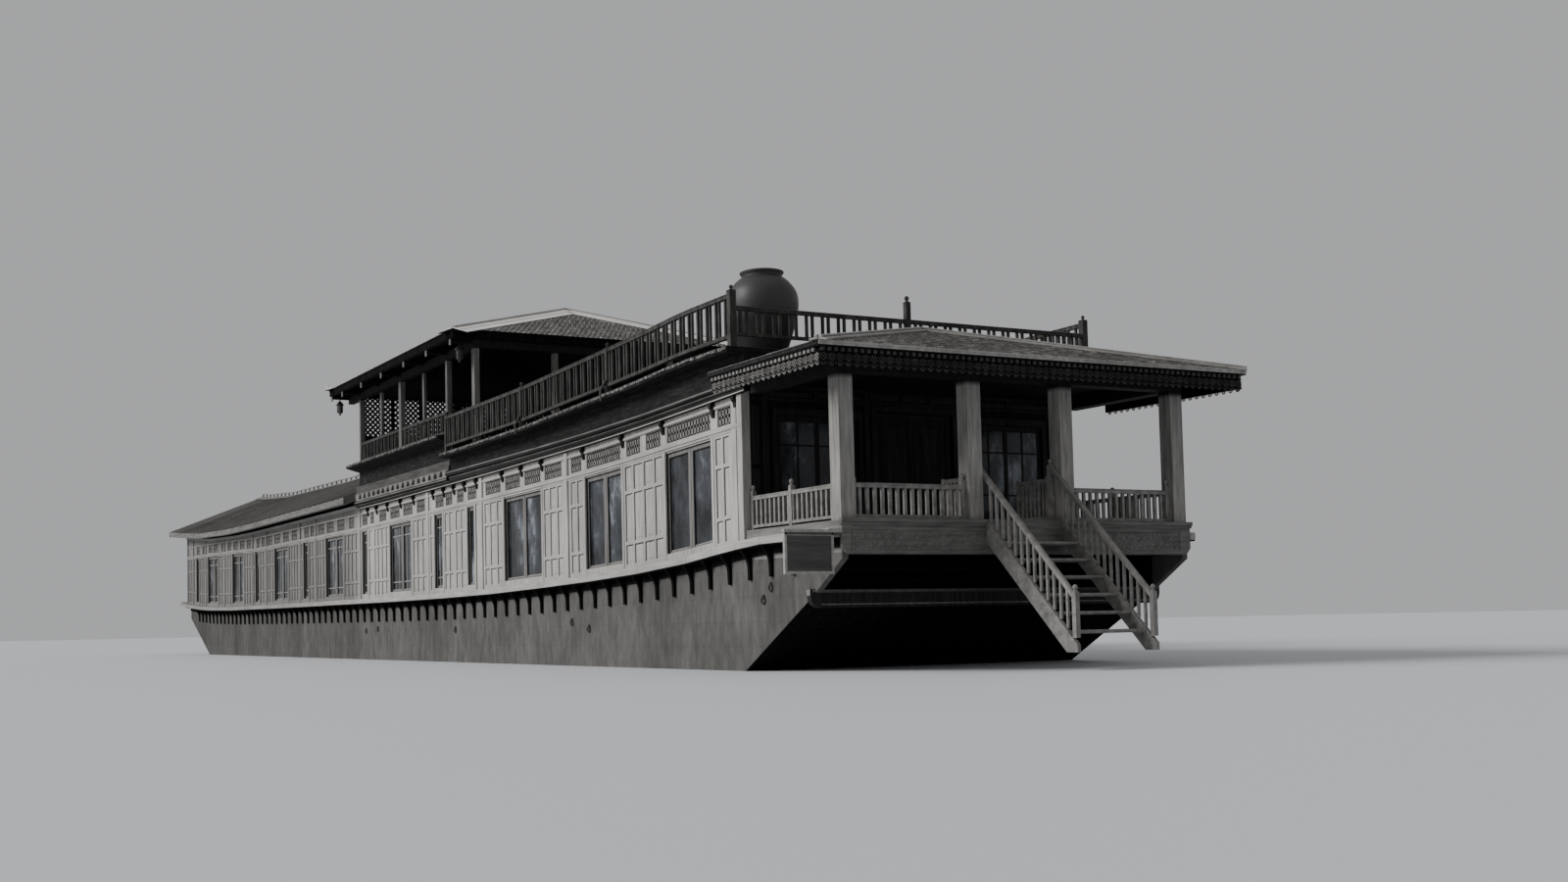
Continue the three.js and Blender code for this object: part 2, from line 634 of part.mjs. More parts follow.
// Gate leaf, hung at the back of the inner column and standing open
function gate(s) {
  const y0 = s * 557;
  const y1 = s * 593;
  const a = -783;
  const b = -212;
  const parts = [];
  const post = (x) => prismY([[x, FLOOR_TOP + 15], [x + 45, FLOOR_TOP + 15], [x + 45, FLOOR_TOP + 560], [x, FLOOR_TOP + 560]], y0, y1);
  parts.push(post(a), post(b - 45));
  for (const z of [FLOOR_TOP + 45, FLOOR_TOP + 500]) {
    parts.push(prismY([[a + 10, z], [b - 10, z], [b - 10, z + 45], [a + 10, z + 45]], y0, y1));
  }
  for (let i = 1; i < 7; i += 1) {
    const x = a + 22 + ((b - a - 45) * i) / 7;
    parts.push(prismY([[x - 17, FLOOR_TOP + 60], [x + 17, FLOOR_TOP + 60], [x + 17, FLOOR_TOP + 520], [x - 17, FLOOR_TOP + 520]], s * 563, s * 587));
  }
  return join(parts);
}

// Boarding stairs
const STAIR_TOP = 2330;
const STAIR_FOOT = 1500;
const STAIR_SLOPE = 0.994;
const stairLine = (x) => STAIR_TOP - STAIR_SLOPE * (x - 45);

function stairs() {
  const parts = [];
  for (const s of [-1, 1]) {
    parts.push(prismY([
      [38 + GAP, stairLine(40)], [STAIR_FOOT, stairLine(STAIR_FOOT)], [STAIR_FOOT, 800], [1330, 800], [38 + GAP, 2060],
    ], s * 545, s * 590));
  }
  for (let i = 0; i < 6; i += 1) {
    const x = 40 + i * 208;
    const z = stairLine(x + 250) - 15;
    parts.push(box(x, x + 250, -560, 560, z - 40, z));
  }
  return join(parts);
}

function stairRail(s) {
  const y = s * 560;
  const parts = [];
  const high = (x) => 3006 - STAIR_SLOPE * (x + 160);
  parts.push(bar([-156, y, high(-156)], [STAIR_FOOT - 20, y, high(STAIR_FOOT - 20)], 56, 45));
  parts.push(box(-186, -126, y - 29, y + 29, FLOOR_TOP + GAP, 3020));
  parts.push(box(STAIR_FOOT - 70, STAIR_FOOT - 10, y - 29, y + 29, stairLine(STAIR_FOOT - 70) + 2, high(STAIR_FOOT - 40) + 60));
  for (let i = 0; i < 13; i += 1) {
    const x = 90 + ((STAIR_FOOT - 150) * i) / 13;
    parts.push(box(x - 15, x + 15, y - 13, y + 13, stairLine(x - 15) + GAP, high(x)));
  }
  return join(parts);
}

function signBoard() {
  return join([
    box(3, 25, -3345, -2715, 1715, 2160),
    box(GAP, 40, -3345, -2602, 2140, 2195),
  ]);
}

// Canopy over the aft end of the roof deck
const CANOPY_POSTS = [-11015, -12370, -13855, -15020, -16470, -17660];
const CANOPY_SIDE = { outer: 2697, inner: 2603, beamInner: 2580, thinOuter: 2619.6, thinInner: 2566 };
const CANOPY_RAIL = { y: 2650, low: CANOPY_DECK_TOP + 50, high: CANOPY_DECK_TOP + 440, through: 3 };

const CANOPY = { front: -10930, back: -18522, side: 3087, low: 6200, eave: 6330, top: 7260, run: 2133 };

function canopyFrame(s) {
  const base = (x) => (x > DECK_STEP_X ? roofDeck(x + 70) + GAP : CANOPY_DECK_TOP + GAP);
  const upright = (inner, outer, low, high, a, b) => prismX([[s * inner, low], [s * outer, low], [s * outer, high], [s * inner, high]], a, b);
  const c = CANOPY_SIDE;
  const parts = CANOPY_POSTS.map((x, i) => {
    const w = i === 0 || i === 3 ? 70 : 45;
    const thin = i === 2 || i === 4;
    return upright(thin ? c.thinInner : c.inner, thin ? c.thinOuter : c.outer, base(x), 6070, x - w, x + w);
  });
  parts.push(upright(c.beamInner, c.outer, 6050, 6190, -18470, -10950));
  const r = CANOPY_RAIL;
  const x = CANOPY_POSTS[r.through];
  const inner = r.y - DECK_RAIL.bar / 2 - GAP;
  const outer = r.y + DECK_RAIL.bar / 2 + GAP;
  const lowSlot = upright(inner, outer, r.low - GAP, r.low + DECK_RAIL.bottom + GAP, x - 80, x + 80);
  const highSlot = upright(inner, outer, r.high - DECK_RAIL.top - GAP, r.high + GAP, x - 80, x + 80);
  return join(parts).subtract(lowSlot).subtract(highSlot);
}

// Two inner posts and the beam across the open fore end
function canopyFront() {
  const x = CANOPY_POSTS[0];
  const low = roofDeck(x + 70) + GAP;
  return join([
    box(x - 50, x + 50, -CANOPY_SIDE.beamInner + 0.5, CANOPY_SIDE.beamInner - 0.5, 6058, 6182),
    box(x - 45, x + 45, -1200, -1100, low, 6070),
    box(x - 45, x + 45, 1100, 1200, low, 6070),
  ]);
}

function hipped(front, back, side, low, high, top, run) {
  const corners = [[front, -side], [front, side], [back, side], [back, -side]];
  const points = [
    ...corners.map(([x, y]) => [x, y, low]), ...corners.map(([x, y]) => [x, y, high]),
    [front - run, 0, top], [back + run, 0, top],
  ];
  return solid(points, [
    [0, 3, 2], [0, 2, 1], [0, 1, 5], [0, 5, 4], [1, 2, 6], [1, 6, 5], [2, 3, 7], [2, 7, 6], [3, 0, 4], [3, 4, 7],
    [4, 5, 8], [5, 6, 9], [5, 9, 8], [6, 7, 9], [7, 4, 8], [7, 8, 9],
  ]);
}

function canopyRoof() {
  const c = CANOPY;
  const outer = hipped(c.front, c.back, c.side, c.low, c.eave, c.top, c.run);
  const inner = hipped(c.front - 60, c.back + 60, c.side - 60, c.low - 50, c.low + 25, c.top - 95, c.run - 60);
  const room = hipped(c.front - 20, c.back + 20, c.side - 20, c.low - 100, c.low + 45, c.top - 75, c.run - 20);
  const rafters = [];
  for (const s of [-1, 1]) {
    for (const x of [-11120, -12370, -13640, -15020, -16320, -17660, -18430]) {
      rafters.push(prismX([
        [s * 2697.4, 6140], [s * 3060, 6140], [s * 3060, 6600], [s * 2300, 6600], [s * 2300, 6330], [s * 2560, 6190.4],
        [s * 2697.4, 6190.4],
      ], x - 35, x + 35));
    }
  }
  return outer.subtract(inner).add(join(rafters).intersect(room));
}

function canopyCaps() {
  const c = CANOPY;
  const lift = 23.3;
  const peakA = [c.front - c.run, 0, c.top + 20.9];
  const peakB = [c.back + c.run, 0, c.top + 20.9];
  const parts = [bar([peakA[0] + 60, 0, c.top + lift], [peakB[0] - 60, 0, c.top + lift], 170, 46)];
  for (const s of [-1, 1]) {
    parts.push(bar([c.front, s * c.side, c.eave + 20.9], peakA, 150, 40));
    parts.push(bar([c.back, s * c.side, c.eave + 20.9], peakB, 150, 40));
    parts.push(bar([c.back + 60, s * (c.side - 50), c.eave + 40], [c.back - 130, s * (c.side + 30), c.eave + 150], 110, 30));
  }
  return join(parts);
}

function canopyEnd() {
  const x = -17900;
  const parts = [];
  const low = CANOPY_DECK_TOP + GAP;
  parts.push(box(x - 30, x + 30, -2570, 2570, low, 5290));
  parts.push(box(x - 30, x + 30, -2570, 2570, 6150, 6182));
  for (let i = 0; i <= 8; i += 1) {
    const y = -2540 + i * 635;
    parts.push(box(x - 30, x + 30, y - 30, y + 30, low, 6100));
  }
  for (const [dx, dir] of [[-11, 1], [3, -1]]) {
    for (let y = -3500; y < 3500; y += 420) {
      const a = [x + dx, y, 5270];
      const b = [x + dx, y + dir * 900, 6170];
      parts.push(slat(a, b, 24, 8));
    }
  }
  const trim = box(x - 31, x + 31, -2570, 2570, low - 1, 6183);
  return join(parts).intersect(trim);
}

// Thin slat in a plane across the boat
function slat(a, b, width, thick) {
  const dy = b[1] - a[1];
  const dz = b[2] - a[2];
  const l = Math.hypot(dy, dz);
  const ny = (-dz / l) * (width / 2);
  const nz = (dy / l) * (width / 2);
  return prismX([
    [a[1] + ny, a[2] + nz], [b[1] + ny, b[2] + nz], [b[1] - ny, b[2] - nz], [a[1] - ny, a[2] - nz],
  ], a[0], a[0] + thick);
}

// Rail between the canopy posts, its bars let through the middle post, on small feet
function canopyRail(s) {
  const r = CANOPY_RAIL;
  const y = s * r.y;
  const x = CANOPY_POSTS[r.through];
  const ends = [CANOPY_POSTS[1] - 45 - GAP, x + 70 + GAP, x - 70 - GAP, CANOPY_POSTS[5] + 45 + GAP];
  const half = DECK_RAIL.bar / 2;
  const parts = [
    railAlongX(y, ends[0], ends[1], () => r.low, () => r.high, 240, DECK_RAIL),
    railAlongX(y, ends[2], ends[3], () => r.low, () => r.high, 240, DECK_RAIL),
    box(ends[2] - 10, ends[1] + 10, y - half, y + half, r.low, r.low + DECK_RAIL.bottom),
    box(ends[2] - 10, ends[1] + 10, y - half, y + half, r.high - DECK_RAIL.top, r.high),
  ];
  for (const at of [ends[0] - 60, ends[1] + 60, ends[2] - 60, ends[3] + 60]) {
    parts.push(box(at - 25, at + 25, y - 20, y + 20, CANOPY_DECK_TOP + GAP, r.low + 10));
  }
  return join(parts);
}

function lantern(x, y) {
  const profile = [[0, 5890], [25, 5895], [55, 5945], [60, 6040], [85, 6055], [30, 6100], [12, 6110], [12, 6139.6], [0, 6139.6]];
  const geometry = new THREE.LatheGeometry(profile.map(([r, z]) => new THREE.Vector2(r, z)), 8);
  return turned(geometry, x, y);
}

function turned(geometry, x, y) {
  const position = geometry.getAttribute('position');
  const index = geometry.getIndex().array;
  const points = [];
  const keys = new Map();
  const remap = [];
  for (let i = 0; i < position.count; i += 1) {
    const p = [position.getX(i) + x, position.getZ(i) + y, position.getY(i)];
    const key = p.map((v) => v.toFixed(3)).join(' ');
    if (!keys.has(key)) {
      keys.set(key, points.length);
      points.push(p);
    }
    remap.push(keys.get(key));
  }
  const triangles = [];
  for (let i = 0; i < index.length; i += 3) {
    const [a, b, c] = [remap[index[i]], remap[index[i + 1]], remap[index[i + 2]]];
    if (a !== b && b !== c && c !== a) {
      triangles.push([a, b, c]);
    }
  }
  return solid(points, triangles);
}

function urn() {
  const base = roofDeck(-2270) + GAP;
  const profile = [
    [0, 0], [250, 0], [330, 150], [410, 380], [452, 620], [440, 800], [380, 960], [290, 1050], [250, 1075],
    [255, 1105], [325, 1130], [318, 1150], [235, 1140], [215, 1080], [0, 1080],
  ];
  const geometry = new THREE.LatheGeometry(profile.map(([r, z]) => new THREE.Vector2(r, z + base)), 24);
  return turned(geometry, -2520, -2000);
}

const foreWindows = WINDOWS.filter((w) => w.from > BULKHEAD_X);
const aftWindows = WINDOWS.filter((w) => w.to < BULKHEAD_X);

add('hull', hull(), 0x9a9a94);
add('prow_beam', prowBeam(), 0x55524c);
for (const { name, s } of SIDES) {
  add(`walkway_${name}`, walkway(s), 0xb5b2a8);
  add(`wall_fore_${name}`, sideWall(s, PORCH_BACK_X, BULKHEAD_X, CORNICES, 1, foreWindows), 0xbcb9ae);
  add(`wall_aft_${name}`, sideWall(s, BULKHEAD_X - GAP, STERN_WALL_X, EAVES, 132, aftWindows), 0xbcb9ae);
  add(`windows_fore_${name}`, glazing(s, PORCH_BACK_X - 110, BULKHEAD_X + 130, foreWindows), 0x3a3c3e, 0.2);
  add(`windows_aft_${name}`, glazing(s, BULKHEAD_X - 100, STERN_WALL_X + 110, aftWindows), 0x3a3c3e, 0.2);
  add(`cornice_${name}`, corniceStrip(s), 0x8f8c84);
  add(`dentil_band_${name}`, dentilBand(s), 0xb0ada3);
}
add('stern_deck', sternDeck(), 0xb5b2a8);
add('wall_stern', sternWall(), 0xbcb9ae);
add('wall_middle', midBulkhead(), 0x8a857a);
add('wall_porch', porchBack(), 0x3d3833);
add('roof_deck', roofDeckBox(), 0x4a4540);
add('canopy_deck', canopyDeck(), 0x4a4540);
add('aft_roof', aftRoof(), 0x77777a);
add('porch_floor', porchFloor(), 0x7d766b);
add('porch_apron', porchApron(), 0x6d675e);
add('porch_frame', porchFrame(), 0x8e887c);
add('porch_valance', porchValance(), 0x6a655c);
add('porch_roof', porchRoof(), 0x7a7a78);
for (const { name, s } of SIDES) {
  add(`porch_window_${name}`, porchWindows(s), 0x2e2c2a, 0.3);
  add(`door_${name}`, door(s), 0x4a4038);
  add(`rail_front_${name}`, porchRailFront(s), 0x9a958a);
  add(`rail_side_${name}`, porchRailSide(s), 0x9a958a);
  add(`gate_${name}`, gate(s), 0x9a958a);
  add(`stair_rail_${name}`, stairRail(s), 0x9a958a);
  add(`roof_rail_${name}`, roofRail(s), 0x57524b);
  add(`canopy_rail_${name}`, canopyRail(s), 0x57524b);
}
add('stairs', stairs(), 0x9a958a);
add('sign_board', signBoard(), 0x6b6b6b);
add('roof_rail_front', roofRailFront(), 0x2e2b28);
for (const { name, s } of SIDES) {
  add(`canopy_frame_${name}`, canopyFrame(s), 0x6a645b);
}
add('canopy_front', canopyFront(), 0x6a645b);
add('canopy_roof', canopyRoof(), 0x808080);
add('canopy_caps', canopyCaps(), 0xd0d0cc);
add('canopy_end', canopyEnd(), 0x5a554d);
add('lantern_fore', lantern(-11120, -2900), 0x33302c);
add('lantern_aft', lantern(-18430, -2900), 0x33302c);
add('urn', urn(), 0x555555);

export default root;
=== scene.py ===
import math
import random
import bpy
import bmesh
from mathutils import Matrix, Vector


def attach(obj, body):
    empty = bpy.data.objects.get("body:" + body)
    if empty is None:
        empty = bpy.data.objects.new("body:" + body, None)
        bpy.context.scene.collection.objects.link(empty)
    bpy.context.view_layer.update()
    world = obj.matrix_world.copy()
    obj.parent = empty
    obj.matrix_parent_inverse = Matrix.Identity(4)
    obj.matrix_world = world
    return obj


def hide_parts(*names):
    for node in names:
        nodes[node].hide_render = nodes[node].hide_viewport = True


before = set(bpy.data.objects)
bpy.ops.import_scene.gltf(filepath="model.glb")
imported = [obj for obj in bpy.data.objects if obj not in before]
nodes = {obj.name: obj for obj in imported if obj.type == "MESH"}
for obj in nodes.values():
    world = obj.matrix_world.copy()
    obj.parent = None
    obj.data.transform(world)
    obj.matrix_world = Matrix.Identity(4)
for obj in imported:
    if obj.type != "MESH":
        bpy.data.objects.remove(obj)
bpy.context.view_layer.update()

bpy.context.scene.render.film_transparent = False

# Lines of the boat, station and height in metres, bow first
sheerLine = [
    (18.11, 2.12), (16.51, 2.12), (15.93, 2.085), (15.32, 2.035), (14.67, 1.975), (13.26, 1.895),
    (11.66, 1.84), (9.84, 1.8), (7.75, 1.765), (5.34, 1.752), (2.5, 1.755), (-0.88, 1.772), (-6.49, 1.8),
    (-11.79, 1.841), (-14.35, 1.887), (-15.69, 1.925), (-17.18, 2.0), (-18.29, 2.07), (-19.51, 2.17)]
headLine = [
    (16.01, 3.56), (14.61, 3.515), (11.91, 3.4), (9.61, 3.36), (6.31, 3.324), (4.01, 3.305), (0.01, 3.28),
    (-2.72, 3.295), (-9.39, 3.315), (-12.09, 3.4), (-15.39, 3.471), (-18.49, 3.53)]
hoodLine = [
    (16.21, 4.03), (14.58, 3.961), (13.15, 3.905), (11.53, 3.86), (7.59, 3.805), (2.27, 3.765), (-0.09, 3.76)]
deckLine = [
    (16.21, 4.56), (15.03, 4.554), (14.58, 4.541), (13.61, 4.492), (12.61, 4.456), (11.21, 4.411),
    (9.41, 4.352), (5.61, 4.325)]
eaveLine = [(0.01, 4.0), (-8.99, 4.01), (-11.49, 4.035), (-14.99, 4.14), (-17.89, 4.33), (-19.44, 4.45)]
ridgeLine = [(0.01, 5.225), (-8.99, 5.24), (-15.39, 5.35), (-17.99, 5.5), (-19.44, 5.62)]
halfBeam = 2.58
canopyStart, canopyDeckTop = 5.67, 4.68


def lineAt(line, x):
    for (xa, za), (xb, zb) in zip(line, line[1:]):
        if x >= xb:
            return za + (zb - za) * (x - xa) / (xb - xa)
    (xa, za), (xb, zb) = line[-2:]
    return za + (zb - za) * (x - xa) / (xb - xa)


def sheer(x):
    return lineAt(sheerLine, x)


def eave(x):
    return lineAt(eaveLine, x)


def ridge(x):
    return lineAt(ridgeLine, x)


def deckTop(x):
    return sheer(x) + 0.095


def roofTop(x):
    return lineAt(deckLine, x) if x > canopyStart else canopyDeckTop


def head(x):
    return lineAt(headLine, x)


def hood(x):
    return lineAt(hoodLine, x) if x > -0.05 else eave(x) - 0.13


# Camera off the starboard bow, a little above the waterline
view = {"place": (32.9722, -12.6394, 1.1725), "lens": 37.018, "shift": (0.0979, 0.0653)}
viewRight = Vector((0.44419957, 0.89570328, -0.02005945))
viewUp = Vector((0.05515672, -0.00499264, 0.99846523))
viewBack = Vector((0.89422843, -0.44462424, -0.05162178))
camera = bpy.data.objects.new("camera", bpy.data.cameras.new("camera"))
bpy.context.scene.collection.objects.link(camera)
camera.data.lens = view["lens"]
camera.data.sensor_width = 36
camera.data.shift_x, camera.data.shift_y = view["shift"]
camera.data.clip_end = 1000
turned = Matrix((viewRight, viewUp, viewBack)).transposed().to_4x4()
camera.matrix_world = Matrix.Translation(view["place"]) @ turned
bpy.context.scene.camera = camera

# Soft studio light, brighter on the starboard side, and a pale floor at the waterline
studio = {
    "sky": (0.84, 0.85, 0.87), "skyStrength": 0.52, "keyStrength": 3.6, "keySpread": 26.0,
    "keyFrom": (-0.4, -1.0, 0.62), "floorHeight": 0.6, "floorSize": 900}
world = bpy.data.worlds.new("studio")
bpy.context.scene.world = world
world.use_nodes = True
world.node_tree.nodes["Background"].inputs["Color"].default_value = (*studio["sky"], 1)
world.node_tree.nodes["Background"].inputs["Strength"].default_value = studio["skyStrength"]
key = bpy.data.objects.new("key", bpy.data.lights.new("key", "SUN"))
bpy.context.scene.collection.objects.link(key)
key.data.energy = studio["keyStrength"]
key.data.angle = math.radians(studio["keySpread"])
key.rotation_euler = Vector(studio["keyFrom"]).to_track_quat("Z", "Y").to_euler()

bpy.ops.object.select_all(action="DESELECT")
bpy.ops.mesh.primitive_plane_add(size=studio["floorSize"], location=(0, 0, studio["floorHeight"]))
floor = bpy.context.active_object
floor.name = "floor"
floorLook = bpy.data.materials.new("paleFloor")
floorLook.use_nodes = True
floorShader = floorLook.node_tree.nodes["Principled BSDF"]
floorShader.inputs["Base Color"].default_value = (0.55, 0.56, 0.58, 1)
floorShader.inputs["Roughness"].default_value = 0.7
floor.data.materials.append(floorLook)
print("stage and camera ready")


# Finishes, which all read Object coordinates, so that a grain or a plank seam stays where the timber is
white = (1, 1, 1)


def grey(value):
    return (value, value * 0.97, value * 0.92)


def newFinish(name):
    finish = bpy.data.materials.new(name)
    finish.use_nodes = True
    tree = finish.node_tree
    return finish, tree, tree.nodes["Principled BSDF"], tree.nodes.new("ShaderNodeTexCoord").outputs["Object"]


def addNode(tree, kind, settings, wires):
    # settings give sockets their values, wires join them to other nodes
    node = tree.nodes.new("ShaderNode" + kind)
    for socket, value in settings.items():
        node.inputs[socket].default_value = value
    for socket, source in wires.items():
        tree.links.new(source, node.inputs[socket])
    return node


def ramp(tree, source, stops):
    node = addNode(tree, "ValToRGB", {}, {"Fac": source})
    node.color_ramp.elements[0].position, node.color_ramp.elements[1].position = stops[0][0], stops[-1][0]
    for place, _ in stops[1:-1]:
        node.color_ramp.elements.new(place)
    for element, (_, colour) in zip(node.color_ramp.elements, stops):
        element.color = (*colour, 1)
    return node.outputs["Color"]


def rubbed(tree, source, start, end):
    # a roughness that runs from start to end over the middle of the noise
    return ramp(tree, source, [(0.3, (start,) * 3), (0.7, (end,) * 3)])


def noise(tree, coords, scale, detail, rough, stretch=(1, 1, 1)):
    mapping = addNode(tree, "Mapping", {"Scale": stretch}, {"Vector": coords})
    settings = {"Scale": scale, "Detail": detail, "Roughness": rough}
    return addNode(tree, "TexNoise", settings, {"Vector": mapping.outputs["Vector"]}).outputs["Fac"]


def mix(tree, kind, factor, a, b):
    node = tree.nodes.new("ShaderNodeMix")
    node.data_type = "RGBA"
    node.blend_type = kind
    for socket, value in ((node.inputs[0], factor), (node.inputs[6], a), (node.inputs[7], b)):
        if isinstance(value, (int, float)):
            socket.default_value = value
        elif isinstance(value, tuple):
            socket.default_value = (*value, 1)
        else:
            tree.links.new(value, socket)
    return node.outputs[2]


def bump(tree, shader, source, strength, distance):
    node = addNode(tree, "Bump", {"Strength": strength, "Distance": distance}, {"Height": source})
    tree.links.new(node.outputs["Normal"], shader.inputs["Normal"])


def timber(name, tones, grain, plank=None, seam=0.006, turn=(0, 0, 0), stain=0.5, gloss=0.75, boarding=0.9,
           shadeAndTone=None, shine=0.15):
    # tones run from dark to light; grain is the stretch of the noise, short along the boards;
    # plank is a board's length and width; the last setting is an axis, the two places where the darkening
    # starts and is full, and what is left of the colour: painted shade on most finishes, a darker second tone
    # on bandPaint
    finish, tree, shader, coords = newFinish(name)
    fibre = noise(tree, coords, 9, 8, 0.6, grain)
    colour = ramp(tree, fibre, list(zip((0.25, 0.5, 0.75), (grey(tone) for tone in tones))))
    patches = noise(tree, coords, 0.9, 6, 0.62, (1, 1, 0.35))
    weather = ramp(tree, patches, [(0.35, (0.55, 0.54, 0.52)), (0.62, white)])
    colour = mix(tree, "MULTIPLY", stain, colour, weather)
    height = fibre
    if plank:
        mapping = addNode(tree, "Mapping", {"Rotation": turn}, {"Vector": coords})
        boards = addNode(tree, "TexBrick", {
            "Scale": 1, "Color1": (0.78, 0.78, 0.78, 1), "Color2": (*white, 1), "Mortar": (0.22, 0.21, 0.2, 1),
            "Mortar Size": seam, "Mortar Smooth": 0.3, "Brick Width": plank[0], "Row Height": plank[1]},
            {"Vector": mapping.outputs["Vector"]})
        colour = mix(tree, "MULTIPLY", boarding, colour, boards.outputs["Color"])
        height = mix(tree, "MULTIPLY", boarding, fibre, boards.outputs["Color"])
    # painted shade, darker along one axis: under roofs, towards the stern and on the porch front
    if shadeAndTone:
        axis, start, full, left = shadeAndTone
        split = addNode(tree, "SeparateXYZ", {}, {"Vector": coords})
        span = addNode(tree, "MapRange", {"From Min": start, "From Max": full}, {"Value": split.outputs[axis]})
        fade = ramp(tree, span.outputs["Result"], [(0, white), (1, (left,) * 3)])
        colour = mix(tree, "MULTIPLY", 1.0, colour, fade)
    tree.links.new(colour, shader.inputs["Base Color"])
    tree.links.new(rubbed(tree, fibre, gloss + 0.12, gloss - 0.1), shader.inputs["Roughness"])
    shader.inputs["Specular IOR Level"].default_value = shine
    bump(tree, shader, height, 0.35, 0.006)
    return finish


def metal(name, dark, light, rust, gloss, polish):
    finish, tree, shader, coords = newFinish(name)
    cloud = noise(tree, coords, 1.6, 7, 0.6)
    speck = noise(tree, coords, 26, 4, 0.7)
    colour = ramp(tree, cloud, [(0.3, dark), (0.7, light)])
    spots = ramp(tree, speck, [(0.62, (0, 0, 0)), (0.75, (0.8, 0.8, 0.8))])
    colour = mix(tree, "MIX", spots, colour, rust)
    tree.links.new(colour, shader.inputs["Base Color"])
    tree.links.new(rubbed(tree, cloud, gloss + 0.15, gloss - 0.1), shader.inputs["Roughness"])
    shader.inputs["Metallic"].default_value = polish
    bump(tree, shader, speck, 0.12, 0.004)
    return finish


def paneGlass(name, tint):
    finish, tree, shader, coords = newFinish(name)
    # the pale smears in the glass colour are partly curtains behind the glass and partly painted reflection of
    # sky and trees
    smear = noise(tree, coords, 1.5, 7, 0.68, (1, 1, 0.55))
    stops = [(place, tuple(times * c for c in tint)) for place, times in ((0.42, 1), (0.56, 4), (0.7, 28))]
    tree.links.new(ramp(tree, smear, stops), shader.inputs["Base Color"])
    tree.links.new(rubbed(tree, smear, 0.04, 0.2), shader.inputs["Roughness"])
    shader.inputs["IOR"].default_value = 1.5
    shader.inputs["Specular IOR Level"].default_value = 0.3
    bump(tree, shader, smear, 0.05, 0.01)
    return finish


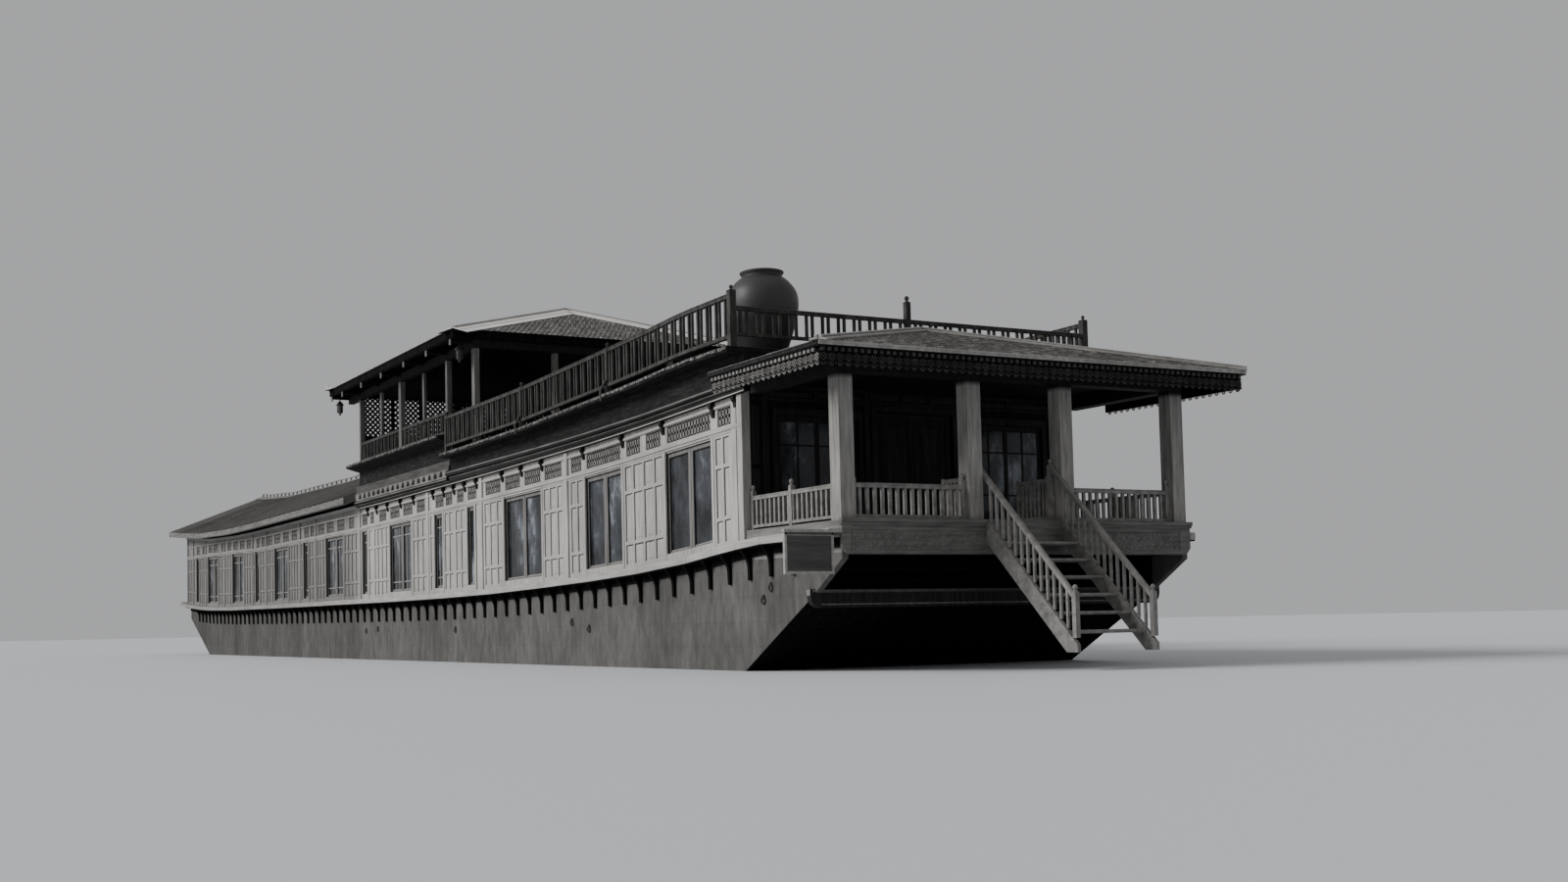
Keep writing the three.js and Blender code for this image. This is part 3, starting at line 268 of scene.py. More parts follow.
upright, lengthways, acrossways, evenly = (2.4, 2.4, 0.22), (0.22, 2.4, 2.4), (2.4, 0.22, 2.4), (1, 1, 1)
onSide = (-math.pi / 2, 0, 0)
looks = {}
for name, tones, grain, settings in (
        # hullSkin: painted shade, darker towards the stern where less light falls
        ("hullSkin", (0.07, 0.1, 0.135), (1.1, 1.1, 0.35), {
            "plank": (4.8, 0.3), "seam": 0.003, "turn": onSide, "stain": 0.8, "gloss": 0.8, "boarding": 0.3,
            "shadeAndTone": ("X", 6, -16, 0.7)}),
        # palePaint: painted shade, darker aft of 0.3 m, under the eave of the aft roof
        ("palePaint", (0.26, 0.38, 0.5), upright, {"shadeAndTone": ("X", 0.3, -0.8, 0.5)}),
        # paleRail: painted shade, darker towards the stern
        ("paleRail", (0.26, 0.36, 0.45), lengthways, {"stain": 0.4, "shadeAndTone": ("X", 2, -6, 0.7)}),
        ("wallShade", (0.2, 0.3, 0.38), upright, {}),
        ("sashPaint", (0.1, 0.155, 0.21), upright, {"stain": 0.4, "gloss": 0.55}),
        ("bandPaint", (0.1, 0.18, 0.27), lengthways, {"stain": 0.6, "shadeAndTone": ("Z", 4.066, 4.074, 0.38)}),
        ("fasciaPaint", (0.09, 0.15, 0.22), lengthways, {"stain": 0.6}),
        # porchPost: painted shade, near black above 3.9 m under the porch roof
        ("porchPost", (0.14, 0.25, 0.37), upright, {"shadeAndTone": ("Z", 3.9, 3.96, 0.05)}),
        # canopyPost: painted shade, near black above 6.02 m under the canopy roof
        ("canopyPost", (0.06, 0.12, 0.18), upright, {"shadeAndTone": ("Z", 6.02, 6.04, 0.08)}),
        ("greyBeam", (0.08, 0.14, 0.2), acrossways, {}),
        ("greyRail", (0.11, 0.2, 0.29), (1.2, 1.2, 1.2), {"stain": 0.4}),
        ("deckRail", (0.02, 0.045, 0.085), (1.6, 1.6, 0.5), {}),
        ("darkBand", (0.004, 0.011, 0.028), (0.5, 2.4, 2.4), {
            "plank": (1.1, 0.1), "turn": onSide, "stain": 0.8}),
        ("darkRail", (0.008, 0.018, 0.035), upright, {"gloss": 0.65}),
        ("darkEdge", (0.005, 0.011, 0.022), lengthways, {}),
        # near-black timber: the knees' own dark paint, and painted shade for the walkway soffits, the valance
        # backing, the canopy screen and the bow planks
        ("kneeTimber", (0.003, 0.007, 0.016), upright, {"gloss": 0.8, "shine": 0.02}),
        ("seamShade", (0.02, 0.035, 0.05), upright, {"gloss": 0.85}),
        # near-black joinery: painted shade for the porch interior, its doors and back wall
        ("darkJoinery", (0.008, 0.016, 0.03), upright, {"gloss": 0.6}),
        ("shadeBoards", (0.003, 0.006, 0.012), lengthways, {
            "plank": (2.4, 0.12), "seam": 0.005, "stain": 0.6, "gloss": 0.8}),
        ("floorBoards", (0.1, 0.18, 0.26), lengthways, {"plank": (3.0, 0.14)}),
        ("shingles", (0.15, 0.26, 0.4), (0.6, 1.8, 1.8), {"stain": 0.6}),
        ("slates", (0.12, 0.26, 0.5), (0.7, 0.7, 0.7), {"stain": 0.3, "gloss": 0.7}),
        ("signFace", (0.05, 0.075, 0.105), acrossways, {"stain": 0.3}),
        ("vineWork", (0.09, 0.17, 0.27), evenly, {"stain": 0.4}),
        # fretwork: painted shade, darker on the front face past 18.455 m
        ("fretwork", (0.1, 0.2, 0.32), evenly, {"stain": 0.3, "shadeAndTone": ("X", 18.455, 18.47, 0.22)}),
        ("paleBoard", (0.2, 0.3, 0.4), (1.5, 1.5, 1.5), {"stain": 0.45}),
        ("weathered", (0.03, 0.09, 0.34), (3, 3, 3), {"stain": 0.7}),
        ("carved", (0.16, 0.3, 0.46), evenly, {"stain": 0.3}),
        ("deckTimber", (0.03, 0.07, 0.12), acrossways, {})):
    looks[name] = timber(name, tones, grain, **settings)
for name, dark, light, rust, gloss, polish in (
        ("roofSheet", 0.12, 0.19, 0.07, 0.62, 0.1), ("flashing", 0.66, 0.82, 0.36, 0.5, 0.05),
        ("hipRoll", 0.22, 0.34, 0.12, 0.6, 0.05), ("lanternTin", 0.03, 0.12, 0.012, 0.4, 0.5),
        ("urnSkin", 0.02, 0.034, 0.012, 0.5, 0.1)):
    looks[name] = metal(name, grey(dark), grey(light), grey(rust), gloss, polish)
looks["iron"] = metal("iron", grey(0.008), grey(0.025), (0.03, 0.022, 0.016), 0.6, 0.5)
looks["glass"] = paneGlass("glass", (0.011, 0.012, 0.0135))


def finishFor(name):
    # shadeBoards and the dark joinery finish are painted shade for the porch and canopy ceilings and the porch
    # interior
    for start, look in (
            ("hull", "hullSkin"), ("prow_beam", "darkRail"), ("walkway", "paleRail"),
            ("wall_porch", "shadeBoards"), ("wall_middle", "darkJoinery"), ("wall_", "palePaint"),
            ("windows_", "sashPaint"), ("cornice", "darkEdge"), ("dentil", "bandPaint"),
            ("stern_deck", "paleRail"), ("roof_deck", "darkBand"), ("canopy_deck", "darkBand"),
            ("aft_roof", "roofSheet"), ("porch_floor", "floorBoards"), ("porch_apron", "greyBeam"),
            ("porch_frame", "porchPost"), ("porch_valance", "greyBeam"), ("porch_roof", "shadeBoards"),
            ("porch_window", "darkJoinery"), ("door_", "darkJoinery"), ("rail_", "greyRail"),
            ("gate_", "greyRail"), ("stair", "greyRail"), ("roof_rail", "deckRail"),
            ("canopy_rail", "deckRail"), ("sign_board", "signFace"), ("canopy_frame", "canopyPost"),
            ("canopy_front", "canopyPost"), ("canopy_roof", "shadeBoards"), ("canopy_caps", "flashing"),
            ("canopy_end", "darkRail"), ("lantern", "iron"), ("urn", "urnSkin")):
        if name.startswith(start):
            return looks[look]
    raise ValueError(name)


for name, node in nodes.items():
    node.data.materials.clear()
    node.data.materials.append(finishFor(name))
print("finishes on", len(nodes), "nodes")


# Modelling helps
def clearSelection():
    if bpy.context.mode != "OBJECT":
        bpy.ops.object.mode_set(mode="OBJECT")
    bpy.ops.object.select_all(action="DESELECT")


def choose(piece):
    clearSelection()
    piece.select_set(True)
    bpy.context.view_layer.objects.active = piece


def settle(piece):
    # place, turn and scale go into the mesh
    choose(piece)
    bpy.ops.object.transform_apply(location=True, rotation=True, scale=True)
    return piece


def startBlock(name, low=(0, 0, 0), high=(1, 1, 1)):
    clearSelection()
    bpy.ops.mesh.primitive_cube_add(size=1, location=[(a + b) / 2 for a, b in zip(low, high)])
    piece = bpy.context.active_object
    piece.name = name
    piece.scale = [b - a for a, b in zip(low, high)]
    return settle(piece)


def pickFaces(piece, wanted):
    # leaves the piece in edit mode with only the wanted faces selected
    choose(piece)
    bpy.ops.object.mode_set(mode="EDIT")
    bpy.ops.mesh.select_mode(type="FACE")
    bpy.ops.mesh.select_all(action="DESELECT")
    shape = bmesh.from_edit_mesh(piece.data)
    for face in shape.faces:
        face.select_set(wanted(face.calc_center_median(), face.normal))
    bmesh.update_edit_mesh(piece.data)


def roundEdges(piece, width):
    pickFaces(piece, lambda centre, normal: True)
    bpy.ops.mesh.bevel(offset=width, segments=1, affect="EDGES")
    bpy.ops.object.mode_set(mode="OBJECT")
    return piece


def cutAcross(piece, points, normal):
    # rings of edges at the points, so that the piece can follow a curve
    choose(piece)
    bpy.ops.object.mode_set(mode="EDIT")
    for point in points:
        bpy.ops.mesh.select_all(action="SELECT")
        bpy.ops.mesh.bisect(plane_co=point, plane_no=normal)
    bpy.ops.object.mode_set(mode="OBJECT")


def coat(piece, look):
    piece.data.materials.clear()
    piece.data.materials.append(looks[look])
    return piece


def stamp(name, unit, places):
    # one copy of the unit, with its own mesh, for each place that moves its points
    copies = []
    for place in places:
        copy = unit.copy()
        copy.data = unit.data.copy()
        bpy.context.scene.collection.objects.link(copy)
        for vertex in copy.data.vertices:
            vertex.co = place(vertex.co)
        copies.append(copy)
    return merge(name, copies)


def merge(name, parts):
    clearSelection()
    for part in parts:
        part.select_set(True)
    bpy.context.view_layer.objects.active = parts[0]
    if len(parts) > 1:
        bpy.ops.object.join()
    parts[0].name = name
    return parts[0]


def finishPiece(piece, look=None, body="boat", smooth=None, replaced=()):
    settle(piece)
    bpy.ops.object.mode_set(mode="EDIT")
    bpy.ops.mesh.select_all(action="SELECT")
    bpy.ops.mesh.normals_make_consistent(inside=False)
    bpy.ops.object.mode_set(mode="OBJECT")
    if look:
        coat(piece, look)
    if smooth:
        bpy.ops.object.shade_smooth_by_angle(angle=math.radians(smooth))
    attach(piece, body)
    if replaced:
        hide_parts(*replaced)


def lay(name, unit, places, look, **settings):
    # a whole piece that repeats one unit
    finishPiece(stamp(name, unit, places), look, **settings)


def assemble(name, groups, **settings):
    # a whole piece of several groups, each with its unit, places and look
    parts = [coat(stamp(name + "_part", unit, places), look) for unit, places, look in groups]
    finishPiece(merge(name, parts), **settings)


def turnOn(name, profile, count=24, centre=(0, 0, 0)):
    # a turned shape, drawn up ring by ring from its foot
    clearSelection()
    x, y, z = centre
    radius, height = profile[0]
    foot = (x, y, z + height)
    bpy.ops.mesh.primitive_circle_add(vertices=count, radius=radius, fill_type="NGON", location=foot)
    piece = settle(bpy.context.active_object)
    piece.name = name
    bpy.ops.object.mode_set(mode="EDIT")
    bpy.ops.mesh.select_mode(type="FACE")
    bpy.ops.mesh.select_all(action="SELECT")
    for nextRadius, nextHeight in profile[1:]:
        bpy.ops.mesh.extrude_region_move(TRANSFORM_OT_translate={"value": (0, 0, nextHeight - height)})
        grow = nextRadius / radius
        bpy.ops.transform.resize(value=(grow, grow, 1), center_override=(x, y, z + nextHeight))
        radius, height = nextRadius, nextHeight
    bpy.ops.object.mode_set(mode="OBJECT")
    return piece


def petal(centre, size, turn=0):
    clearSelection()
    bpy.ops.mesh.primitive_uv_sphere_add(segments=6, ring_count=4, radius=1, location=(0, 0, 0))
    piece = bpy.context.active_object
    piece.scale, piece.rotation_euler, piece.location = size, (0, turn, 0), centre
    return settle(piece)


def hoop(centre, major, minor, count=10, around=5):
    clearSelection()
    bpy.ops.mesh.primitive_torus_add(
        major_radius=major, minor_radius=minor, major_segments=count, minor_segments=around, location=centre,
        rotation=(math.pi / 2, 0, 0))
    return settle(bpy.context.active_object)


# Places for the units: a place moves each point of a copy to where it lies on the boat
def fit(value, low, high, edge=0.05):
    # keeps the real size of what lies near an end and stretches the middle
    if value <= edge:
        return low + value
    if value >= 1 - edge:
        return high - (1 - value)
    return low + edge + (value - edge) / (1 - 2 * edge) * (high - low - 2 * edge)


def onWall(side, xs, zs, ys):
    # zs are two heights or two functions of x
    low, high = [z if callable(z) else (lambda x, z=z: z) for z in zs]

    def place(p):
        x = fit(p.x, min(xs), max(xs))
        return (x, side * fit(p.y, *ys), fit(p.z, low(x), high(x)))
    return place


def onSkin(side, xs, zs, out):
    # on the face of the long wall, standing out from it
    return onWall(side, xs, zs, (halfBeam - 0.002, halfBeam + out))


def onBox(low, high):
    return lambda p: tuple(fit(value, a, b) for value, a, b in zip(p, low, high))


def onFore(ys, zs, xs):
    # a box whose sides may come in either order
    return onBox((xs[0], min(ys), zs[0]), (xs[1], max(ys), zs[1]))


def onQuad(a, b, c, d, low, high):
    # p.x runs from a to b, p.z from a to d, p.y outwards
    a, b, c, d = (Vector(corner) for corner in (a, b, c, d))
    out = (b - a).cross(d - a) if (b - a).length > 0.001 else (c - b).cross(d - c)
    out.normalize()
    wide, tall = max((b - a).length, (c - d).length), max((d - a).length, (c - b).length)

    def place(p):
        u, v = fit(p.x, 0, wide) / wide, fit(p.z, 0, tall) / tall
        return (a * (1 - u) + b * u) * (1 - v) + (d * (1 - u) + c * u) * v + out * fit(p.y, low, high)
    return place


def up(point, height):
    return Vector(point) + Vector((0, 0, height))


def upstand(a, b, low, high, inner, outer):
    # an upright board along the edge from a to b
    return onQuad(up(a, low), up(b, low), up(b, high), up(a, high), inner, outer)


def onLine(a, b, wide, deep=None):
    # the rod from a to b
    a, b = Vector(a), Vector(b)
    run = (b - a).normalized()
    across = run.cross(Vector((0, 0, 1)))
    across = across.normalized() if across.length > 0.05 else Vector((1, 0, 0))
    rise = across.cross(run)
    return lambda p: a + (b - a) * p.z + across * p.x * wide + rise * p.y * (deep or wide)


def shifted(line, rise):
    return lambda x: line(x) + rise


def between(low, high, t):
    return lambda x: low(x) + (high(x) - low(x)) * t


def panelUnit():
    # a raised field with a sloping margin
    unit = startBlock("field")
    pickFaces(unit, lambda centre, normal: normal.y > 0.9)
    bpy.ops.mesh.inset(thickness=0.03, depth=0)
    bpy.ops.mesh.select_all(action="INVERT")
    bpy.ops.object.mode_set(mode="OBJECT")
    for vertex in unit.data.vertices:
        onRim = min(vertex.co.x, 1 - vertex.co.x, vertex.co.z, 1 - vertex.co.z) < 0.01
        if vertex.co.y > 0.9:
            vertex.co.y = 0.0015 if onRim else 1
    return unit


# Units that many pieces share
board = roundEdges(startBlock("board"), 0.004)
longBoard = roundEdges(startBlock("longBoard"), 0.004)
cutAcross(longBoard, [(i / 30, 0, 0) for i in range(1, 30)], (1, 0, 0))
plainUnit = startBlock("plain")
fieldUnit = panelUnit()
clearSelection()
bpy.ops.mesh.primitive_cylinder_add(vertices=10, radius=1, depth=1, location=(0, 0, 0.5))
rod = settle(bpy.context.active_object)
sides = (("starboard", -1), ("port", 1))

# Panelling of the long walls: windows, bays of panels and friezes by station, bow first
walls = {
    "stileEdge": 0.075, "stileInner": 0.05, "proud": 0.016, "railProud": 0.0145, "pilaster": 0.11,
    "cornerPilaster": 0.12, "pilasterProud": 0.03, "casing": 0.03, "casingProud": 0.026, "sillProud": 0.022,
    "field": 0.022, "fieldProud": 0.0075, "shadowFrom": 0.0218, "shadowTo": 0.009, "shadowTop": 0.0125,
    "shadowProud": 0.001}
windows = [
    (13.845, 15.165, 2), (11.27, 12.56, 2), (8.04, 9.67, 2), (6.31, 6.72, 1), (4.59, 5.095, 1),
    (1.925, 3.32, 2), (0.05, 0.49, 1), (-2.72, -1.28, 2), (-4.655, -4.16, 1), (-7.42, -6.03, 2),
    (-9.47, -8.985, 1), (-12.17, -10.76, 2), (-15.415, -13.95, 2), (-17.08, -16.645, 1)]
friezes = [
    (15.283, 15.679), (13.904, 15.095), (13.275, 13.711), (12.669, 13.107), (11.327, 12.468),
    (10.763, 11.146), (9.749, 10.414), (8.937, 9.59), (8.099, 8.743), (7.201, 7.893), (6.342, 6.764),
    (5.798, 6.126), (5.21, 5.55), (4.647, 5.092), (3.582, 4.056), (2.764, 3.325), (1.948, 2.535),
    (1.239, 1.709), (0.622, 0.873), (0.064, 0.425), (-0.903, -0.566), (-1.814, -1.263), (-2.662, -2.105),
    (-3.382, -2.859), (-4.032, -3.714), (-4.607, -4.185), (-5.763, -5.258), (-6.597, -6.032),
    (-7.464, -6.855), (-8.136, -7.686), (-8.805, -8.481), (-9.374, -8.994), (-10.477, -9.981),
    (-11.293, -10.73), (-12.084, -11.555), (-12.845, -12.354), (-13.63, -13.23), (-14.704, -14.089),
    (-15.364, -14.853), (-16.23, -15.79), (-17.04, -16.67)]
bays = [
    (15.66, 15.165, 2), (13.845, 12.56, 4), (11.27, 10.7, 2), (10.53, 9.67, 3), (8.04, 7.105, 3),
    (6.31, 5.68, 2), (5.68, 5.095, 2), (4.59, 4.31, 1), (4.2, 3.32, 3), (1.925, 0.86, 4), (0.86, 0.49, 1),
    (-0.14, -1.28, 4), (-2.72, -3.49, 3), (-3.61, -4.16, 2), (-4.655, -4.91, 1), (-5.01, -6.03, 4),
    (-7.42, -8.22, 3), (-8.34, -8.985, 2), (-9.47, -9.73, 1), (-9.83, -10.76, 3), (-12.17, -13.13, 3),
    (-13.23, -13.95, 2), (-15.415, -15.69, 1), (-15.79, -16.645, 3), (-17.08, -17.49, 1),
    (-17.61, -18.39, 3)]
pilasters = [
    15.73, 15.87, 10.615, 7.023, 4.255, -0.095, -3.55, -4.96, -8.28, -9.78, -13.18, -15.74, -17.55, -18.4]

foot, crown = shifted(deckTop, 0.002), shifted(head, 0.02)
rows = [
    (shifted(deckTop, 0.075), shifted(deckTop, 0.345)), (shifted(deckTop, 0.395), shifted(head, -0.4)),
    (shifted(head, -0.35), shifted(head, -0.015))]
for sideName, side in sides:
    frames, fields, seamsAndShadowLines, full = [], [], [], []
    for a, b, count in bays:
        xs = [b + (a - b) * i / count for i in range(count + 1)]
        stiles = [walls["stileEdge"]] + [walls["stileInner"] / 2] * (count - 1) + [walls["stileEdge"]]
        for i, x in enumerate(xs):
            ends = (x if i == 0 else x - stiles[i], x if i == count else x + stiles[i])
            frames.append(onSkin(side, ends, (foot, crown), walls["proud"]))
        lows, highs = zip(*rows)
        for zs in zip((foot,) + highs, lows + (crown,)):
            frames.append(onSkin(side, (b + 0.001, a - 0.001), zs, walls["railProud"]))
        for i in range(count):
            lowX, highX = xs[i] + stiles[i] + walls["field"], xs[i + 1] - stiles[i + 1] - walls["field"]
            for low, high in rows:
                zs = shifted(low, walls["field"]), shifted(high, -walls["field"])
                fields.append(onSkin(side, (lowX, highX), zs, walls["fieldProud"]))
                # painted shadow: dark strips on the wall in the gaps along each field's aft edge and top edge
                zs = shifted(low, 0.001), shifted(high, -0.001)
                ends = (lowX - walls["shadowFrom"], lowX - walls["shadowTo"])
                seamsAndShadowLines.append(onSkin(side, ends, zs, walls["shadowProud"]))
                zs = shifted(high, -walls["shadowTop"]), shifted(high, -0.001)
                seamsAndShadowLines.append(onSkin(side, (lowX - 0.008, highX + 0.02), zs, walls["shadowProud"]))
    for x in pilasters:
        half = walls["cornerPilaster"] / 2 if x > 15.7 else walls["pilaster"] / 2
        zs = foot, shifted(hood, -0.004)
        frames.append(onSkin(side, (x - half, x + half), zs, walls["pilasterProud"]))
    for low, high, lights in windows:
        for x in (low, high):
            ends = (x - walls["casing"], x + walls["casing"])
            frames.append(onSkin(side, ends, (foot, crown), walls["casingProud"]))
        zs = foot, shifted(deckTop, 0.105)
        frames.append(onSkin(side, (low + 0.031, high - 0.031), zs, walls["sillProud"]))
    for low, high, out in ((0.02, 0.055, 0.02), (0.055, 0.1, 0.034), (0.365, 0.4, 0.022)):
        full.append(onSkin(side, (-18.43, 15.9), (shifted(head, low), shifted(head, high)), out))
    full.append(onSkin(side, (-18.43, -0.06), (shifted(eave, -0.2), shifted(eave, -0.135)), 0.05))
    assemble("panelling_" + sideName, [(board, frames, "palePaint"), (fieldUnit, fields, "palePaint")])
    lay("strips_" + sideName, longBoard, full, "paleRail")
    lay("panel_shadow_lines_" + sideName, plainUnit, seamsAndShadowLines, "seamShade")
print("panelling done")

# Carved friezes: an openwork of rings and crossed bars over a near-black backing, painted shade in the recess
carving = {
    "cell": 0.078, "rows": 2, "depth": 0.013, "back": 0.024, "foot": 0.134, "height": 0.221, "margin": 0.02}
cellParts = [hoop((0.5, 0.5, 0.5), 0.24, 0.05, 7, 4)]
for turn in (math.pi / 4, -math.pi / 4):
    bar = roundEdges(startBlock("bar", (-0.033, 0.3, -0.68), (0.033, 0.62, 0.68)), 0.015)
    bar.rotation_euler, bar.location = (0, turn, 0), (0.5, 0, 0.5)
    cellParts.append(settle(bar))
cellUnit = merge("cell", cellParts)


def carvedCell(side, a, b, i, j, count):
    # one cell of the openwork, trimmed where it meets the margin of its field
    def within(value, cells):
        return min(max(value, carving["margin"]), cells - carving["margin"]) / cells

    def place(p):
        x = a + (b - a) * within(i + p.x, count)
        z = head(x) + carving["foot"] + carving["height"] * within(j + p.z, carving["rows"])
        return (x, side * (halfBeam - carving["back"] + carving["depth"] * p.y), z)
    return place


for sideName, side in sides:
    cells, backs = [], []
    for a, b in friezes:
        count = max(2, round((b - a) / carving["cell"]))
        cells += [carvedCell(side, a, b, i, j, count) for i in range(count) for j in range(carving["rows"])]
        backs.append(onWall(side, (a + 0.001, b - 0.001), (shifted(head, 0.133), shifted(head, 0.356)),
                            (halfBeam - 0.0296, halfBeam - carving["back"])))
    lay("frieze_carving_" + sideName, cellUnit, cells, "carved")
    lay("frieze_backing_" + sideName, board, backs, "shadeBoards")
print("friezes carved")

# Panes with their beads and glazing bars, and dark strips of painted shade on the aft jambs, under the heads
# and on the aft and top beads; the windows further aft have more bars
panes = {
    "bead": 0.016, "glassYs": (2.5305, 2.536), "shadeStrip": 0.007, "shadeStripYs": (2.5553, 2.5795), "sash": 0.0605,
    "barredAft": 6.0, "crossbars": (0.13, 0.86), "uprights": (0.3, 0.7)}
for sideName, side in sides:
    plates, beads, shadeStrips = [], [], []
    for low, high, lights in windows:
        sill, lintel = shifted(deckTop, 0.077), shifted(head, -0.001)
        start, end = low + 0.001, high - 0.001
        # painted shade: dark strips on the aft jamb and under the head of the opening
        shadeStrips.append(onWall(side, (start, start + panes["shadeStrip"]), (sill, lintel), panes["shadeStripYs"]))
        shadeStrips.append(onWall(side, (start, end), (shifted(lintel, -panes["shadeStrip"]), lintel), panes["shadeStripYs"]))
        width = (high - low) / lights
        bottom, upper = shifted(deckTop, 0.1355), shifted(head, -0.0605)
        for i in range(lights):
            left, right = low + width * i + panes["sash"], low + width * (i + 1) - panes["sash"]
            plates.append(onWall(side, (left, right), (bottom, upper), panes["glassYs"]))
            # the aft and top beads go with the dark strips, painted shade; the fore and bottom beads keep the
            # bead paint
            strips = [
                (shadeStrips, (left, left + panes["bead"]), (bottom, upper), 2.5545),
                (beads, (right - panes["bead"], right), (bottom, upper), 2.55),
                (beads, (left, right), (bottom, shifted(bottom, panes["bead"])), 2.549),
                (shadeStrips, (left, right), (shifted(upper, -panes["bead"]), upper), 2.554)]
            if low < panes["barredAft"]:
                for t in panes["crossbars"]:
                    level = between(bottom, upper, t)
                    zs = shifted(level, -0.01), shifted(level, 0.01)
                    strips.append((beads, (left, right), zs, 2.547))
                for t in panes["uprights"]:
                    x = left + t * (right - left)
                    strips.append((beads, (x - 0.009, x + 0.009), (bottom, upper), 2.546))
            for group, xs, zs, out in strips:
                group.append(onWall(side, xs, zs, (panes["glassYs"][1], out)))
            if i:
                zs = sill, shifted(head, -0.01)
                beads.append(onWall(side, (left - 0.066, left - 0.055), zs, (panes["shadeStripYs"][0], 2.561)))
    lay("panes_" + sideName, board, plates, "glass")
    lay("beads_" + sideName, board, beads, "wallShade")
    lay("window_shade_strips_" + sideName, board, shadeStrips, "darkRail")
print("windows glazed")

# Walkways: two pale boards side by side on a near-black soffit and ledger, carried by curved knees;
# the soffit and ledger are painted shade, and the knees' near black is partly their paint and partly painted
# shade
walkway = {
    "inner": 2.5804, "outer": 2.745, "longest": 2.6, "pitch": 0.495, "first": 17.02, "count": 69,
    "half": 0.026, "kneeFoot": 0.385, "kneeHeight": 0.368}
kneeCurve = [(1, 0.1416), (0.93, 0.132), (0.84, 0.105), (0.72, 0.07), (0.6, 0.049), (0.45, 0.038), (0, 0.034)]
knee = roundEdges(startBlock("knee"), 0.004)
cutAcross(knee, [(0, 0, level) for level, _ in kneeCurve[1:-1]], (0, 0, 1))


def kneeAt(x, side):
    def place(p):
        reach = lineAt(kneeCurve, min(max((p.z - 0.01) / 0.98, 0), 1))
        z = sheer(x) - walkway["kneeFoot"] + walkway["kneeHeight"] * p.z
        return (x + (p.x - 0.5) * 2 * walkway["half"], side * (walkway["inner"] + p.y * reach), z)
    return place


boardEnds = [17.998]
for low in [x for x, _ in sheerLine if -17.9 < x < 17.9] + [-17.988]:
    high = boardEnds[-1]
    count = math.ceil((high - low) / walkway["longest"])
    boardEnds += [high + (low - high) * (i + 1) / count for i in range(count)]
for sideName, side in sides:
    boards, soffits = [], []
    for high, low in zip(boardEnds, boardEnds[1:]):
        for ys in ((walkway["inner"], 2.661), (2.6635, walkway["outer"])):
            boards.append(onWall(side, (low + 0.001, high - 0.001), (sheer, deckTop), ys))
        # painted shade: a near-black board under the walkway and a near-black ledger on the hull below it
        for bottom, upper, out in ((-0.016, -0.0005, 2.735), (-0.11, -0.0165, 2.602)):
            zs = shifted(sheer, bottom), shifted(sheer, upper)
            soffits.append(onWall(side, (low, high), zs, (walkway["inner"], out)))
    knees = [kneeAt(walkway["first"] - n * walkway["pitch"], side) for n in range(walkway["count"])]
    assemble("walkway_boards_" + sideName, [
        (board, boards, "paleRail"), (board, soffits, "kneeTimber"), (knee, knees, "kneeTimber")],
        replaced=("walkway_" + sideName,))
print("walkways laid")

# Light beads along the dark cornice, and near-black fills in the notches of the pale band, painted shade
cornice = [
    (16.21, 4.235), (15.15, 4.197), (13.51, 4.138), (11.59, 4.099), (9.76, 4.082), (5.73, 4.08),
    (-0.09, 4.085)]
notch = {"first": 5.61, "pitch": 0.312, "count": 18, "ys": (2.6402, 2.7015)}


def corniceTop(x):
    return (lineAt(cornice, x) - 0.05 if x > canopyStart else 3.92) - 0.0004


corniceMiddle = between(hood, corniceTop, 0.55)
for sideName, side in sides:
    lines, upper = [], []
    for ends in ((5.675, 16.075), (-0.045, 5.665)):
        for group, line, low, high, out in (
                (lines, hood, 0.002, 0.018, 0.07), (upper, hood, 0.03, 0.042, 0.07),
                (upper, corniceMiddle, -0.022, -0.008, 0.105), (upper, corniceTop, -0.045, -0.022, 0.15)):
            ys = halfBeam + out + 0.0003, halfBeam + out + 0.005
            group.append(onWall(side, ends, (shifted(line, low), shifted(line, high)), ys))
    assemble("cornice_beads_" + sideName, [(longBoard, lines, "paleRail"), (longBoard, upper, "fasciaPaint")])
    backs = []
    for i in range(notch["count"]):
        x = notch["first"] - i * notch["pitch"]
        for half, low, high in (
                (0.07, 3.946, 3.962), (0.098, 3.962, 4.004), (0.07, 4.004, 4.036), (0.04, 4.036, 4.062)):
            backs.append(onWall(side, (x - half, x + half), (low, high), notch["ys"]))
    lay("notch_backs_" + sideName, board, backs, "shadeBoards")
print("cornices lined")


